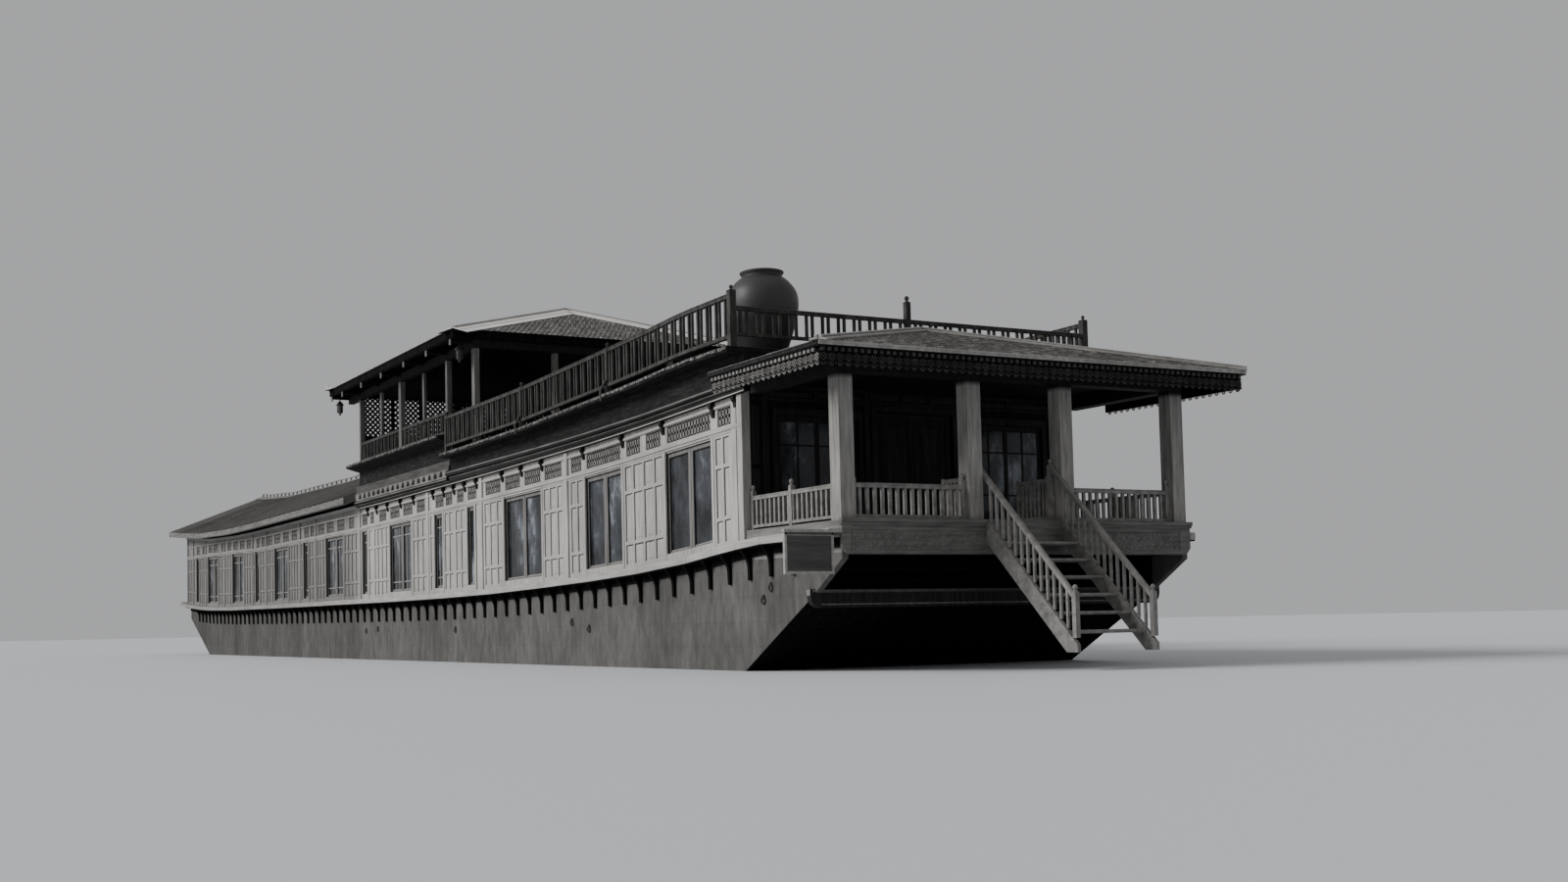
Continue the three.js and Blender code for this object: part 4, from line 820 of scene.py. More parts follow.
def shingleRows(corners, width, course, lift, seed, gap=0.002, loose=0.14):
    # corners are eave start, eave end, top end, top start; the rows are broken like laid shingles
    eaveA, eaveB, topB, topA = (Vector(corner) for corner in corners)
    run = (eaveB - eaveA).normalized()
    out = run.cross(topA - eaveA).normalized()
    startAt, endAt, length = (topA - eaveA).dot(run), (topB - eaveA).dot(run), (eaveB - eaveA).length
    climb = topA - eaveA - run * startAt
    rows = round(climb.length / course)
    chance = random.Random(seed)
    places = []

    def point(s, v, height):
        s = min(max(s, startAt * v), length + (endAt - length) * v)
        return eaveA + run * s + climb * v + out * height
    for row in range(rows):
        low, high = row / rows, min(1, (row + 1.2) / rows)
        s = -width * (0.5 if row % 2 else 1)
        while s < length:
            wide = width * chance.uniform(1 - loose, 1 + loose)
            drop = chance.uniform(-0.43, 0.43) * loose * course / climb.length
            raised = lift + chance.uniform(0, 0.004)
            if s + wide > startAt * low + 0.004 and s < length + (endAt - length) * low - 0.004:
                quad = [point(s + gap, low + drop, raised), point(s + wide - gap, low + drop, raised),
                        point(s + wide - gap, high, 0.002), point(s + gap, high, 0.002)]
                if (quad[1] - quad[0]).length > 0.004:
                    places.append(shinglePlace(*quad, out))
            s += wide
    return places


def shinglePlace(a, b, c, d, out):
    def place(p):
        low, high = a * (1 - p.x) + b * p.x, d * (1 - p.x) + c * p.x
        return low * (1 - p.z) + high * p.z + out * (0.009 * p.y)
    return place


def hipWings(corner, top, slopes, width, low, high):
    # flat strips either side of a hip or ridge; slopes are points that lie on the two slopes
    corner, top = Vector(corner), Vector(top)
    run = (top - corner).normalized()
    places = []
    for point in slopes:
        reach = Vector(point) - corner
        reach = (reach - run * reach.dot(run)).normalized() * width
        quad = (corner, top, top + reach, corner + reach)
        if (top - corner).cross(reach).z < 0:
            quad = (top, corner, corner + reach, top + reach)
        places.append(onQuad(*quad, low, high))
    return places


# Porch roof: wooden shingles, double boards over the hips and a drip board at the eave
porchRoof = {
    "front": 18.52, "back": 16.1004, "side": 3.16, "eave": 4.195, "top": 4.912, "width": 0.12,
    "course": 0.135}
peak = (porchRoof["back"], 0, porchRoof["top"])
aftStar, cornerStar, cornerPort, aftPort = (
    (porchRoof[end], side * porchRoof["side"], porchRoof["eave"])
    for end, side in (("back", -1), ("front", -1), ("front", 1), ("back", 1)))
porchEaves = [(aftStar, cornerStar), (cornerStar, cornerPort), (cornerPort, aftPort)]
shingles, hipBoards, frontDrips, sideDrips = [], [], [], []
for seed, (a, b) in enumerate(porchEaves):
    shingles += shingleRows((a, b, peak, peak), porchRoof["width"], porchRoof["course"], 0.012, seed)
    # painted shade: the side drip boards are near black for the shadow line under the shingles, the front ones
    # pale
    group = frontDrips if a[0] == b[0] else sideDrips
    group += [upstand(a, b, -0.032, 0.012, 0.0005, 0.012), upstand(a, b, -0.006, 0.014, 0.012, 0.02)]
lay("porch_shingles", plainUnit, shingles, "shingles")
for corner, neighbours in ((cornerStar, (aftStar, cornerPort)), (cornerPort, (aftPort, cornerStar))):
    for width, low, high in ((0.1, 0.022, 0.046), (0.035, 0.046, 0.07)):
        hipBoards += hipWings(corner, peak, neighbours, width, low, high)
assemble("porch_hip_boards", [
    (board, hipBoards, "paleBoard"), (board, frontDrips, "paleBoard"), (board, sideDrips, "darkRail")])
print("porch roof shingled")

# Valance of the porch: fretted band with a scalloped edge below a row of dentils, over near-black boards
# that are painted shade behind the fretwork
valance = {
    "tip": 3.945, "face": 18.49, "side": 3.125, "depth": 0.012, "thick": 0.03, "start": 16.12, "length": 2.36,
    "frontCount": 57, "sideCount": 21, "dentilPitch": 0.0855, "dentilFoot": 4.103, "frontDentils": 73,
    "sideDentils": 27}


def blossom(z, reach, size, turns):
    # petals round a point on the middle line of a cell
    return [petal((0.055 + reach * math.cos(t), 0.004, z + reach * math.sin(t)), size, -t) for t in turns]


fret = merge("fret", blossom(0.1, 0.017, (0.016, 0.006, 0.007), (0.785, 2.356, 3.927, 5.498)) + [
    hoop((0.055, 0.004, 0.1), 0.037, 0.0055, 12), hoop((0.055, -0.004, 0.036), 0.026, 0.0085),
    petal((0.0, -0.004, 0.046), (0.013, 0.008, 0.018)), petal((0.055, -0.004, 0.036), (0.01, 0.007, 0.01)),
    petal((0.0, 0.004, 0.08), (0.006, 0.005, 0.014), -0.5),
    petal((0.0, 0.004, 0.12), (0.006, 0.005, 0.014), 0.5)])
dentil = roundEdges(startBlock("dentil", (0, 0, 0), (0.045, 0.028, 0.042)), 0.003)


def alongX(x, y, z, out):
    # a unit in metres, its face turned to out, which is -1 for starboard and 1 for port
    return lambda p: (x - out * p.x, y + out * p.y, z + p.z)


def alongY(x, y, z):
    return lambda p: (x + p.y, y + p.x, z + p.z)


faceX, faceY = valance["face"] - valance["depth"], valance["side"] - valance["depth"]
backX, backY = valance["face"] - valance["thick"], valance["side"] - valance["thick"]
frets, dentils, bands = [], [], []
for i in range(valance["frontCount"]):
    frets.append(alongY(faceX, valance["side"] * (2 * i / valance["frontCount"] - 1), valance["tip"]))
for i in range(valance["sideCount"]):
    step = valance["length"] / valance["sideCount"]
    frets.append(alongX(valance["start"] + step * i, -faceY, valance["tip"], -1))
    frets.append(alongX(valance["start"] + step * (i + 1), faceY, valance["tip"], 1))
for i in range(valance["frontDentils"]):
    dentils.append(alongY(faceX, -3.11 + valance["dentilPitch"] * i, valance["dentilFoot"]))
for i in range(valance["sideDentils"]):
    dentils.append(alongX(16.13 + valance["dentilPitch"] * i, -faceY, valance["dentilFoot"], -1))
    dentils.append(alongX(16.175 + valance["dentilPitch"] * i, faceY, valance["dentilFoot"], 1))
for low, high, depth in ((3.985, 4.15, 0.0), (3.985, 3.996, 0.008), (4.09, 4.103, 0.01)):
    bands.append(onFore((-backY - depth, backY + depth), (low, high), (backX, faceX + depth)))
    for side in (-1, 1):
        bands.append(onFore((side * backY, side * (faceY + depth)), (low, high), (16.101, faceX + depth)))
assemble("valance_fretwork", [
    (board, bands, "kneeTimber"), (fret, frets, "fretwork"), (dentil, dentils, "fretwork")],
    smooth=35, replaced=("porch_valance",))
print("valance cut")

# Apron below the porch floor: mouldings and two fields of carved vine
apron = {"face": 18.048, "cell": 0.11, "low": 1.98, "fields": ((-2.435, -0.62), (1.2, 2.41))}
clearSelection()
bpy.ops.mesh.primitive_circle_add(vertices=6, radius=0.0055, fill_type="NGON", location=(0.036, 0, 0))
stem = settle(bpy.context.active_object)
bpy.ops.object.mode_set(mode="EDIT")
bpy.ops.mesh.select_all(action="SELECT")
bpy.ops.mesh.spin(steps=9, angle=math.radians(285), center=(0, 0, 0), axis=(0, 1, 0))
bpy.ops.object.mode_set(mode="OBJECT")
stem.location = (0.055, 0.003, 0.055)
leaves = blossom(0.055, 0.019, (0.015, 0.006, 0.007), (0.4, 2.5, 4.6))
for x, z, turn in ((0.1, 0.1, -0.8), (0.012, 0.098, 0.8), (0.1, 0.01, 0.8), (0.01, 0.014, -0.8)):
    leaves.append(petal((x, 0.003, z), (0.016, 0.006, 0.006), turn))
vine = merge("vine", [settle(stem)] + leaves)


def vineAt(low, high, i, j, count):
    # every other cell is turned round
    flip, cell = (i + j) % 2, apron["cell"]

    def place(p):
        along, rise = (cell - p.x, cell - p.z) if flip else (p.x, p.z)
        y = low + (high - low) * (i + along / cell) / count
        return (apron["face"] + 0.001 + p.y, y, apron["low"] + cell * j + rise)
    return place


vines, mouldings = [], []
for low, high in apron["fields"]:
    count = round((high - low) / apron["cell"])
    vines += [vineAt(low, high, i, j, count) for i in range(count) for j in range(2)]
    wide = (low - 0.035, high + 0.035)
    for ys, zs in ((wide, (2.205, 2.235)), (wide, (1.945, 1.972)),
                   ((wide[0], low - 0.01), (1.972, 2.205)), ((high + 0.01, wide[1]), (1.972, 2.205))):
        mouldings.append(onFore(ys, zs, (apron["face"] + 0.0005, apron["face"] + 0.012)))
for zs, out in (((2.262, 2.29), 0.016), ((2.29, 2.338), 0.034)):
    for ys in ((-2.62, -0.601), (0.601, 2.62)):
        mouldings.append(onFore(ys, zs, (18.0105, apron["face"] + out)))
lay("apron_carving", vine, vines, "vineWork", smooth=40)
lay("apron_mouldings", board, mouldings, "greyBeam")
print("apron carved")

# Canopy roof: small shingles, wide light flashings on the hips and ridge, upturned aft corners
canopyRoof = {
    "front": 7.08, "back": -0.512, "side": 3.087, "eave": 6.33, "top": 7.26, "run": 2.133, "width": 0.1,
    "course": 0.086, "gap": 0.011, "loose": 0.03, "firstSeed": 40}
foreStar, forePort, sternStar, sternPort = (
    (canopyRoof[end], side * canopyRoof["side"], canopyRoof["eave"])
    for end in ("front", "back") for side in (-1, 1))
peakFore = (canopyRoof["front"] - canopyRoof["run"], 0, canopyRoof["top"])
peakAft = (canopyRoof["back"] + canopyRoof["run"], 0, canopyRoof["top"])
canopySlopes = [
    (foreStar, forePort, peakFore, peakFore), (sternStar, foreStar, peakFore, peakAft),
    (forePort, sternPort, peakAft, peakFore), (sternPort, sternStar, peakAft, peakAft)]
canopyHips = [
    (foreStar, peakFore, (forePort, sternStar)), (forePort, peakFore, (foreStar, sternPort)),
    (sternStar, peakAft, (sternPort, foreStar)), (sternPort, peakAft, (sternStar, forePort))]
slates, eaveBoards, flashings, shades = [], [], [], []
for number, corners in enumerate(canopySlopes):
    slates += shingleRows(
        corners, canopyRoof["width"], canopyRoof["course"], 0.016, canopyRoof["firstSeed"] + number,
        canopyRoof["gap"], canopyRoof["loose"])
    a, b = corners[:2]
    eaveBoards += [upstand(a, b, -0.128, 0.012, 0.0005, 0.011), upstand(a, b, -0.02, 0.014, 0.011, 0.022)]
lay("canopy_shingles", plainUnit, slates, "slates")
for corner, top, neighbours in canopyHips:
    shades += hipWings(corner, top, neighbours, 0.325, 0.006, 0.0215)
    flashings += hipWings(corner, top, neighbours, 0.3, 0.022, 0.029)
    flashings += hipWings(corner, top, neighbours, 0.15, 0.029, 0.037)
flashings += hipWings(peakAft, peakFore, (sternStar, sternPort), 0.3, 0.024, 0.032)
for corner, side in ((sternStar, -1), (sternPort, 1)):
    points = [Vector(corner) + Vector((back, side * out, rise)) for back, out, rise in (
        (0.12, -0.09, 0.025), (-0.03, 0.012, 0.045), (-0.1, 0.026, 0.09), (-0.13, 0.03, 0.16))]
    cross = Vector((side, 1, 0)).normalized()
    widths = (0.09, 0.075, 0.05, 0.02)
    for p, q, wide, narrow in zip(points, points[1:], widths, widths[1:]):
        quad = (p - cross * wide, p + cross * wide, q + cross * narrow, q - cross * narrow)
        flashings.append(onQuad(*quad, 0.0, 0.014))
rolls = [onLine(up(peakAft, 0.03), up(peakFore, 0.03), 0.046, 0.03)]
rolls += [onLine(up(corner, 0.03), up(top, 0.03), 0.042, 0.032) for corner, top, _ in canopyHips]
assemble("canopy_flashings", [
    (board, flashings, "flashing"), (rod, rolls, "hipRoll"), (board, shades, "darkEdge")],
    smooth=35, replaced=("canopy_caps",))
rafterEnds = [
    onFore((side * 3.0602, side * 3.082), (6.09, 6.196), (x - 0.037, x + 0.037))
    for x in (6.89, 5.64, 4.37, 2.99, 1.69, 0.35, -0.42) for side in (-1, 1)]
assemble("canopy_eave_boards", [(board, eaveBoards, "kneeTimber"), (board, rafterEnds, "fasciaPaint")])
print("canopy roofed")

# Aft end of the canopy: panelled foot, posts and a fine diagonal lattice before a boarded screen;
# the screen is near black, painted shade of the canopy's inside
lattice = {"low": 5.29, "high": 6.16, "reach": 2.57, "pitch": 0.112, "width": 0.041, "overlap": 0.01}


def slatPlace(x, a, b):
    # a slat in the plane across the boat, from a to b
    half = lattice["width"] * math.sqrt(0.5)

    def place(p):
        y, z = a[0] + (b[0] - a[0]) * p.z, a[1] + (b[1] - a[1]) * p.z
        return (x + 0.009 * p.y, y + (p.x - 0.5) * 2 * half, z)
    return place


slats, reach = [], lattice["reach"]
z0, z1 = lattice["low"] - lattice["overlap"], lattice["high"] + lattice["overlap"]
for direction, x in ((1, 0.1005), (-1, 0.1105)):
    start = -reach - (z1 - z0)
    while start < reach:
        y0, y1 = (start, start + z1 - z0)[::direction]
        t0, t1 = sorted((end - y0) / (y1 - y0) for end in (-reach, reach))
        t0, t1 = max(0, t0), min(1, t1)
        if t1 - t0 > 0.04:
            slats.append(slatPlace(x, *((y0 + (y1 - y0) * t, z0 + (z1 - z0) * t) for t in (t0, t1))))
        start += lattice["pitch"]
deckFace, postPitch = canopyDeckTop + 0.0006, 0.635
latticeFrame = [onFore((-reach, reach), zs, (0.08, 0.14)) for zs in ((5.255, 5.3), (6.145, 6.18))]
latticeFrame.append(onFore((-2.565, 2.565), (deckFace, 5.26), (0.086, 0.13)))
for i in range(9):
    y = -2.54 + postPitch * i
    latticeFrame.append(onFore((y - 0.03, y + 0.03), (deckFace, 6.15), (0.079, 0.141)))
    if i < 8:
        for xs in ((0.13, 0.138), (0.078, 0.086)):
            latticeFrame.append(onFore((y + 0.09, y + 0.545), (4.76, 5.2), xs))
assemble("canopy_lattice", [
    (board, latticeFrame, "darkRail"), (plainUnit, slats, "darkRail")], replaced=("canopy_end",))
screen = [
    onFore((-0.603 + 0.1 * i, -0.509 + 0.1 * i), (5.2995, 6.1455), (0.0925, 0.0985)) for i in range(31)]
lay("canopy_screen", board, screen, "kneeTimber")
print("lattice woven")

# Clay urn on the roof
urnAt = (15.49, -2.0, 4.5575)
urnShape = [
    (0.27, 0), (0.282, 0.012), (0.3, 0.06), (0.34, 0.17), (0.385, 0.31), (0.423, 0.44), (0.45, 0.56),
    (0.462, 0.66), (0.46, 0.74), (0.445, 0.81), (0.418, 0.868), (0.38, 0.92), (0.338, 0.968), (0.3, 1.0),
    (0.27, 1.02), (0.258, 1.032), (0.258, 1.046), (0.27, 1.064), (0.283, 1.082), (0.283, 1.094),
    (0.27, 1.101), (0.212, 1.092), (0.196, 1.07), (0.186, 1.02), (0.176, 0.98), (0.05, 0.95)]
finishPiece(turnOn("clay_urn", urnShape, 64, urnAt), "urnSkin", smooth=40, replaced=("urn",))


def overDeck(x, y, rise):
    return (x, y, roofTop(x) + rise)


def capAt(place, size):
    x, y, z = place
    return lambda p: (x + p.x * size, y + p.y * size, z - 0.002 + p.z * size)


# Turned caps on the posts of the rails, all cut to one pattern
cap = turnOn("cap", [
    (0.024, 0), (0.034, 0.004), (0.034, 0.014), (0.02, 0.02), (0.019, 0.03), (0.03, 0.042), (0.035, 0.058),
    (0.031, 0.076), (0.018, 0.09), (0.004, 0.095)], 12)
railPosts = (12.56, 9.38, 5.9)
roofCaps, porchCaps = [capAt(overDeck(16.065, -0.17, 0.735), 0.9)], []
for side in (-1, 1):
    roofCaps += [capAt(overDeck(x, side * 2.79, 0.665), 0.85) for x in railPosts]
    roofCaps.append(capAt(overDeck(16.06, side * 2.79, 0.7), 0.72))
    porchCaps += [capAt((x, side * y, z), 0.85) for x, y, z in (
        (17.9125, 0.8179, 2.8), (17.9125, 2.3541, 2.8), (15.961, 2.482, 2.8), (16.843, 2.482, 2.8),
        (17.7846, 2.482, 2.8), (17.854, 0.56, 3.02), (19.47, 0.56, 1.4557))]
lay("roof_post_caps", cap, roofCaps, "deckRail", smooth=40)
lay("porch_post_caps", cap, porchCaps, "greyRail", smooth=40)

# Slanting feet outside the posts of the roof rail and the ragged ends of the deck boards
feet, deckEnds = [], []
for x in railPosts[:2]:
    for side in (-1, 1):
        top, bend = overDeck(x, side * 2.832, 0.2), up((x - 0.02, side * 2.905, roofTop(x)), 0.05)
        end = (x - 0.02, side * 2.9, roofTop(x) - 0.09)
        feet += [onLine(top, bend, 0.028, 0.02), onLine(up(bend, 0.014), end, 0.028, 0.02)]
deckEdge, chance = 2.8905, random.Random(5)
for side in (-1, 1):
    x = 0.0
    while x < 16.0:
        wide = chance.uniform(0.1, 0.17)
        top = roofTop(x) - 0.004
        reach = deckEdge + chance.uniform(0.006, 0.028)
        if not 5.55 < x < 5.68:
            zs = top - chance.uniform(0.03, 0.045), top
            deckEnds.append(onFore((side * deckEdge, side * reach), zs, (x + 0.004, x + wide - 0.003)))
        x += wide
lay("rail_feet", rod, feet, "deckRail", smooth=40)
lay("deck_board_ends", board, deckEnds, "weathered")
print("roof deck dressed")

# Aft roof: standing seams, a ridge strip and pale boards round the edge
aftRoof = {"seam": 0.46, "halfSeam": 0.012, "side": 2.96, "from": -0.1, "to": -19.42, "end": -19.44}


def slopePoint(x, side, t):
    # t is 0 at the eave and 1 at the ridge
    return Vector((x, side * aftRoof["side"] * (1 - t), eave(x) + (ridge(x) - eave(x)) * t))


def slopeStrip(side, xa, xb, low, high, inner, outer):
    corners = ((xa, low), (xb, low), (xb, high), (xa, high))
    return onQuad(*(slopePoint(x, side, t) for x, t in corners), inner, outer)


seamsAndShadowLines, edges = [], []
x = aftRoof["from"]
while x > aftRoof["to"]:
    for side in (-1, 1):
        a, b = x + side * aftRoof["halfSeam"], x - side * aftRoof["halfSeam"]
        seamsAndShadowLines.append(slopeStrip(side, a, b, 0.003, 0.985, 0.0005, 0.03))
        a, b = a - side * 0.03, b - side * (aftRoof["seam"] - 0.04)
        seamsAndShadowLines += [slopeStrip(side, a, b, lap, lap + 0.012, 0.0005, 0.006) for lap in (0.34, 0.67)]
    x -= aftRoof["seam"]
steps = [0.0, -4.5, -9.0, -12.2, -15.4, -17.0, -18.0, -19.43]
for side in (-1, 1):
    for stations in zip(steps, steps[1:]):
        a, b = stations[::side]
        edges.append(slopeStrip(side, a, b, 0.93, 1.0, 0.03, 0.04))
        edges.append(upstand(slopePoint(a, side, 0), slopePoint(b, side, 0), -0.128, 0, 0.0005, 0.012))
    gable = [slopePoint(aftRoof["end"], side, t) for t in (0, 1)[::side]]
    edges.append(upstand(*gable, -0.15, 0.02, 0.0005, 0.02))
lay("aft_roof_seams", board, seamsAndShadowLines, "roofSheet")
lay("aft_roof_edges", board, edges, "fasciaPaint")
print("aft roof seamed")

# Sign: a moulded frame and a drip board round a bare board
sign = {
    "ys": (-3.352, -2.708), "zs": (1.708, 2.166), "bar": 0.034, "uprightXs": (18.012, 18.05),
    "crossXs": (18.0125, 18.0495)}
(y0, y1), (z0, z1), bar = sign["ys"], sign["zs"], sign["bar"]
signFrame = [onFore(ys, sign["zs"], sign["uprightXs"]) for ys in ((y0, y0 + bar), (y1 - bar, y1))]
signFrame += [onFore((y0 + bar, y1 - bar), zs, sign["crossXs"]) for zs in ((z0, z0 + bar), (z1 - bar, z1))]
signFrame.append(onFore((-3.36, -2.6), (2.168, 2.2), (18.004, 18.06)))
lay("sign_frame", board, signFrame, "paleBoard")

# Lanterns under the canopy eaves
lantern = {"y": -2.9, "foot": 5.795, "ribs": 8, "shape": [
    (0.012, 0), (0.026, 0.014), (0.015, 0.033), (0.037, 0.047), (0.054, 0.063), (0.061, 0.21),
    (0.09, 0.221), (0.061, 0.265), (0.033, 0.295), (0.013, 0.317), (0.008, 0.3445)]}
ribUnit = startBlock("rib", (-0.004, 0.055, 0.063), (0.004, 0.066, 0.214))


def ribPlace(turn, centre):
    turned = Matrix.Rotation(turn, 3, "Z")
    return lambda p: turned @ Vector(p) + centre


for name, x in (("fore", 6.89), ("aft", -0.42)):
    centre = Vector((x, lantern["y"], lantern["foot"]))
    case = turnOn("lantern_case", lantern["shape"], 16, centre)
    turns = [i * 2 * math.pi / lantern["ribs"] for i in range(lantern["ribs"])]
    ribs = stamp("ribs", ribUnit, [ribPlace(turn, centre) for turn in turns])
    case = merge("lantern_" + name + "_case", [case, ribs])
    finishPiece(case, "lanternTin", smooth=30, replaced=("lantern_" + name,))
print("sign and lanterns done")

# Porch joinery: casings, pilasters and a panelled frieze on the back wall, and bars on its windows;
# the joinery is near black, painted shade of the porch
porchWall = {"face": 15.93, "low": 2.335, "glassXs": (15.8955, 15.8985), "paneZs": (2.551, 3.689)}
face = porchWall["face"]
raised = (face, face + 0.012)


def fieldOnFore(ys, zs, xs):
    # the raised field turned to face along the boat
    return lambda p: (fit(p.y, *xs, 0.3), fit(p.x, min(ys), max(ys)), fit(p.z, *zs))


joinery, fields, plates = [], [], []
for side in (-1, 1):
    for low, high, z0, z1, out in (
            (0.605, 0.69, porchWall["low"], 3.95, 0.022), (0.72, 0.8, porchWall["low"], 4.14, 0.03),
            (0.83, 0.895, porchWall["low"], 3.84, 0.022), (2.105, 2.17, porchWall["low"], 3.84, 0.022),
            (2.24, 2.32, porchWall["low"], 4.14, 0.03), (0.83, 2.17, 3.765, 3.86, 0.03),
            (0.82, 2.18, 2.43, 2.476, 0.05), (0.83, 2.17, porchWall["low"], 2.4, 0.02),
            (0.801, 2.239, 3.95, 3.985, 0.024), (0.801, 2.239, 4.1, 4.14, 0.024),
            (2.321, 2.48, 3.95, 3.985, 0.024), (1.5, 1.54, 3.985, 4.1, 0.02)):
        joinery.append(onFore((side * low, side * high), (z0, z1), (face, face + out)))
    for low, high, zs in (
            (0.82, 1.48, (4.0, 4.085)), (1.56, 2.22, (4.0, 4.085)), (2.34, 2.47, (2.35, 3.1)),
            (2.34, 2.47, (3.14, 3.9)), (2.34, 2.47, (4.0, 4.12))):
        fields.append(fieldOnFore((side * low, side * high), zs, raised))
    for low, high in ((0.961, 1.469), (1.531, 2.039)):
        ys, middle = (side * low, side * high), side * (low + high) / 2
        plates.append(onFore(ys, porchWall["paneZs"], porchWall["glassXs"]))
        start = porchWall["glassXs"][1]
        joinery.append(onFore((middle - 0.012, middle + 0.012), porchWall["paneZs"], (start, 15.9085)))
        joinery += [onFore(ys, (z - 0.01, z + 0.01), (start, 15.907)) for z in (2.83, 3.4)]
joinery.append(onFore((-0.69, 0.69), (3.865, 3.95), (face, face + 0.03)))
joinery.append(onFore((-0.72, 0.72), (3.951, 3.99), (face, face + 0.045)))
fields += [fieldOnFore((low, low + 0.44), (4.005, 4.12), raised) for low in (-0.68, -0.22, 0.24)]
assemble("porch_joinery", [
    (board, joinery, "darkJoinery"), (fieldUnit, fields, "darkJoinery"), (board, plates, "glass")])

# Door leaves: beads round both fields of both faces, raised middles and a knob on a plate;
# the leaves' joinery is near black, painted shade of the porch
door = {
    "faces": ((15.905, 1), (15.86, -1)), "bead": 0.02, "ys": (0.09, 0.51),
    "fields": ((2.42, 2.85), (2.94, 3.76)), "knobHeight": 2.895, "knobFrom": 0.048}
inner, outer, bead = *door["ys"], door["bead"]
for sideName, side in sides:
    leaf, middles, knobPlates, knobs = [], [], [], []
    y, z = side * door["knobFrom"], door["knobHeight"]
    for at, out in door["faces"]:
        for low, high in door["fields"]:
            bottom, top = low - bead, high + bead
            for y0, y1, zs in ((inner - bead, inner, (bottom, top)), (outer, outer + bead, (bottom, top)),
                               (inner, outer, (bottom, low)), (inner, outer, (high, top))):
                leaf.append(onFore((side * y0, side * y1), zs, sorted((at + out * 0.0004, at + out * 0.007))))
            xs = at - out * 0.0118, at - out * 0.003
            middles.append(fieldOnFore((side * 0.12, side * 0.48), (low + 0.03, high - 0.03), xs))
        xs = sorted((at + out * 0.0004, at + out * 0.004))
        knobPlates.append(onFore((y - 0.018, y + 0.018), (z - 0.09, z + 0.07), xs))
        for start, end, radius in (
                (0.004, 0.03, 0.007), (0.03, 0.036, 0.016), (0.036, 0.048, 0.021), (0.048, 0.054, 0.015)):
            knobs.append(onLine((at + out * start, y, z), (at + out * end, y, z), radius))
    assemble("door_mouldings_" + sideName, [
        (board, leaf, "darkJoinery"), (fieldUnit, middles, "darkJoinery"), (board, knobPlates, "iron"),
        (rod, knobs, "iron")], body="door_" + sideName)
print("porch joined")

# Stern wall: panelled like the sides, with a panelled door in the middle
stern = {
    "face": -18.44, "low": 2.19, "top": 4.115, "half": 2.485,
    "rows": ((2.27, 2.5), (2.56, 3.4), (3.46, 3.98)), "bays": (-2.46, -1.64, -0.82, 0.0, 0.82, 1.64, 2.46),
    "boards": 24, "boardPitch": 0.207, "eave": 4.205, "rise": 1.11, "eaveHalf": 2.87}


def onStern(ys, zs, out):
    return onFore(ys, zs, (stern["face"] - out, stern["face"] - 0.0004))


def gableTop(y):
    return stern["eave"] + stern["rise"] * (stern["eaveHalf"] - abs(y)) / stern["eaveHalf"]


def gablePlace(y0, y1, out):
    # an upright board of the gable, cut to its slope
    def place(p):
        y = fit(p.x, y0, y1)
        return (stern["face"] - fit(p.y, 0.0004, out), y, stern["top"] + (gableTop(y) - stern["top"]) * p.z)
    return place


frames, fields = [], []
for y in stern["bays"]:
    ends = (max(y - 0.045, -stern["half"]), min(y + 0.045, stern["half"]))
    frames.append(onStern(ends, (stern["low"], stern["top"]), 0.022))
for low, high, out in (
        (stern["low"], 2.25, 0.02), (2.52, 2.54, 0.018), (3.42, 3.44, 0.018), (4.0, 4.06, 0.02),
        (4.06, stern["top"], 0.034)):
    frames.append(onStern((-stern["half"], stern["half"]), (low, high), out))
for a in stern["bays"][:-1]:
    for y in (a + 0.06, a + 0.42):
        for zs in stern["rows"]:
            fields.append(fieldOnFore((y, y + 0.34), zs, (stern["face"] - 0.0004, stern["face"] - 0.009)))
for i in range(stern["boards"]):
    y = -2.484 + stern["boardPitch"] * i
    frames.append(gablePlace(y + 0.002, y + 0.205, 0.014))
frames += [
    onStern((-0.5, -0.44), (stern["low"], 3.99), 0.034), onStern((0.44, 0.5), (stern["low"], 3.99), 0.034),
    onStern((-0.5, 0.5), (3.93, 3.99), 0.036)]
assemble("stern_panelling", [(board, frames, "palePaint"), (fieldUnit, fields, "palePaint")])
print("stern panelled")


# Bow: near-black planks on the raked face and in the recess above it, painted shade under the porch,
# and a row of carved lozenges on the beam
def rakedPlanks(start, end, count, gap, half):
    # planks one above the other, from start to end in the plane along the boat
    places = []
    for i in range(count):
        (xa, za), (xb, zb) = (
            [a + (b - a) * t for a, b in zip(start, end)] for t in ((i + gap) / count, (i + 1 - gap) / count))
        places.append(onQuad((xa, -half, za), (xa, half, za), (xb, half, zb), (xb, -half, zb), 0.0005, 0.008))
    return places


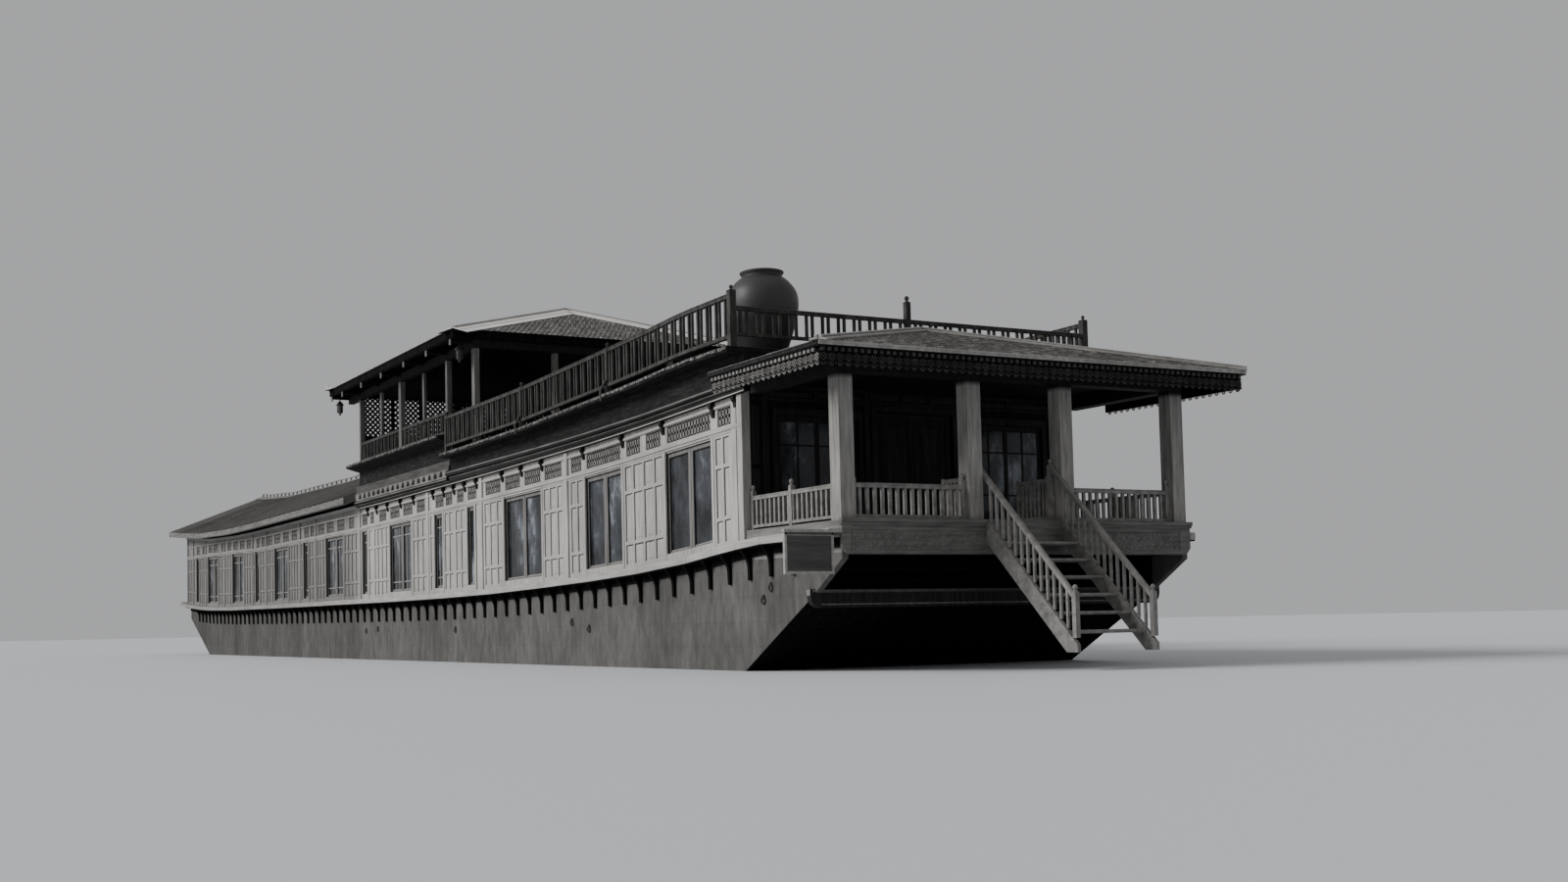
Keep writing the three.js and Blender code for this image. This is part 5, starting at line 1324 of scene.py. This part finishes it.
planks = rakedPlanks((14.79, 0.0102), (17.355, 1.4567), count=15, gap=0.015, half=2.577)
planks += rakedPlanks((16.7145, 1.5525), (16.9995, 1.9445), count=3, gap=0.02, half=2.498)
for count, x, wide, pitch, zs in (
        (5, 16.73, 0.15, 0.153, (1.5504, 1.556)), (8, 17.02, 0.119, 0.122, (1.938, 1.9494))):
    planks += [onFore((-2.497, 2.497), zs, (x + pitch * i, x + wide + pitch * i)) for i in range(count)]
planks += [onFore((side * 2.4995, side * 2.49), (1.56, 1.936), (17.02, 17.49)) for side in (-1, 1)]
lay("bow_planks", board, planks, "kneeTimber")
lozenge = petal((0, 0, 0), (0.044, 0.007, 0.05))
lozenges = [alongY(17.4505, -2.4 + 0.1 * i, 1.455) for i in range(49)]
beamStrips = [
    onFore((-2.5, 2.5), (1.375, 1.392), (17.4504, 17.458)),
    onFore((-2.62, 2.62), (1.525, 1.552), (17.4504, 17.46))]
beamStrips += [onFore((side * 2.6454, side * 2.653), (1.48, 1.556), (17.37, 17.445)) for side in (-1, 1)]
assemble("prow_beam_carving", [(board, beamStrips, "fasciaPaint"), (lozenge, lozenges, "darkRail")], smooth=40)
print("bow planked")

# Mooring irons on the sides of the hull: a staple with a ring
mooring = merge("mooring", [
    roundEdges(startBlock("staple", (-0.014, 0, -0.012), (0.014, 0.02, 0.02)), 0.003),
    hoop((0, 0.014, -0.045), 0.042, 0.008, 12), hoop((0, 0.008, 0.0), 0.022, 0.007, 8)])
ironAt = [
    (10.715, 1.295), (11.326, 1.193), (16.315, 1.5), (16.491, 1.647), (5.634, 1.219), (1.072, 1.267),
    (0.263, 1.234)]
irons = [alongX(x, side * 2.5803, z, side) for x, z in ironAt for side in (-1, 1)]
lay("mooring_irons", mooring, irons, "iron", smooth=40)

# Nosings of the stair treads and rounded tops of the handrails
treads = {
    "count": 6, "first": 18.3, "pitch": 0.208, "half": 0.543, "head": (18.055, 2.295), "slope": 0.994}
longRails = [
    (2.79, 0.651, ((16.02, 15.03), (15.03, 14.58), (14.58, 13.61), (13.61, 12.6), (12.52, 11.21),
                   (11.21, 9.42), (9.34, 5.94))),
    (2.65, 0.441, ((5.59, 3.065), (2.915, 0.4)))]
nosings, porchTops, roofTops = [], [], []
for i in range(treads["count"]):
    x = treads["first"] + i * treads["pitch"]
    z = treads["head"][1] - treads["slope"] * (x - treads["head"][0])
    nosings.append(onLine((x, -treads["half"], z), (x, treads["half"], z), 0.018, 0.02))
for side in (-1, 1):
    porchTops += [
        onLine((17.9125, side * 0.85, 2.731), (17.9125, side * 2.322, 2.731), 0.031, 0.015),
        onLine((15.992, side * 2.482, 2.731), (17.753, side * 2.482, 2.731), 0.031, 0.015),
        onLine((17.886, side * 0.56, 2.992), (19.44, side * 0.56, 1.4475), 0.034, 0.016)]
    for y, rise, spans in longRails:
        for span in spans:
            roofTops.append(onLine(*(overDeck(x, side * y, rise) for x in span), 0.037, 0.016))
for ya, yb in ((-2.74, -0.207), (-0.133, 2.74)):
    roofTops.append(onLine(overDeck(16.065, ya, 0.496), overDeck(16.065, yb, 0.496), 0.031, 0.015))
lay("stair_nosings", rod, nosings, "greyRail", smooth=40)
lay("porch_rail_tops", rod, porchTops, "greyRail", smooth=40)
lay("roof_rail_tops", rod, roofTops, "deckRail", smooth=40)
print("rails and stairs dressed")

# Boards laid across the roof decks
deckBoard = {"pitch": 0.14, "joint": 0.002, "half": 2.885, "end": 16.095}
deckBoards, chance = [], random.Random(9)
x = 0.0
while x < 16.07:
    xa, xb = x + deckBoard["joint"], min(x + deckBoard["pitch"] - deckBoard["joint"], deckBoard["end"])
    if not (xa < canopyStart + 0.005 and xb > canopyStart - 0.005):
        corners = [overDeck(v, y, 0) for v, y in ((xa, -deckBoard["half"]), (xb, -deckBoard["half"]),
                                                  (xb, deckBoard["half"]), (xa, deckBoard["half"]))]
        deckBoards.append(onQuad(*corners, 0.0004, chance.uniform(0.003, 0.006)))
    x += deckBoard["pitch"]
lay("deck_boards", board, deckBoards, "deckTimber")

# Light bar on small feet above the ridge of the aft roof
ridgeBar = {
    "height": 0.125, "radius": 0.026, "footFrom": 0.03, "footTo": 0.115, "footHalf": 0.022, "pitch": 0.47,
    "stops": (-0.4, -4.6, -8.99, -12.2, -15.39, -17.0, -17.99, -19.3)}
ridgeStops = [(x, 0, ridge(x) + ridgeBar["height"]) for x in ridgeBar["stops"]]
ridgeBars = [onLine(a, b, ridgeBar["radius"]) for a, b in zip(ridgeStops, ridgeStops[1:])]
feet, x, half = [], -0.45, ridgeBar["footHalf"]
while x > ridgeBar["stops"][-1]:
    zs = ridge(x) + ridgeBar["footFrom"], ridge(x) + ridgeBar["footTo"]
    feet.append(onFore((-0.026, 0.026), zs, (x - half, x + half)))
    x -= ridgeBar["pitch"]
assemble("ridge_bar", [(rod, ridgeBars, "paleBoard"), (board, feet, "paleBoard")], smooth=40)
print("decks boarded and ridge barred")

for unit in (board, longBoard, plainUnit, fieldUnit, rod, cellUnit, knee, fret, dentil, vine, cap, ribUnit,
             lozenge, mooring):
    bpy.data.objects.remove(unit)
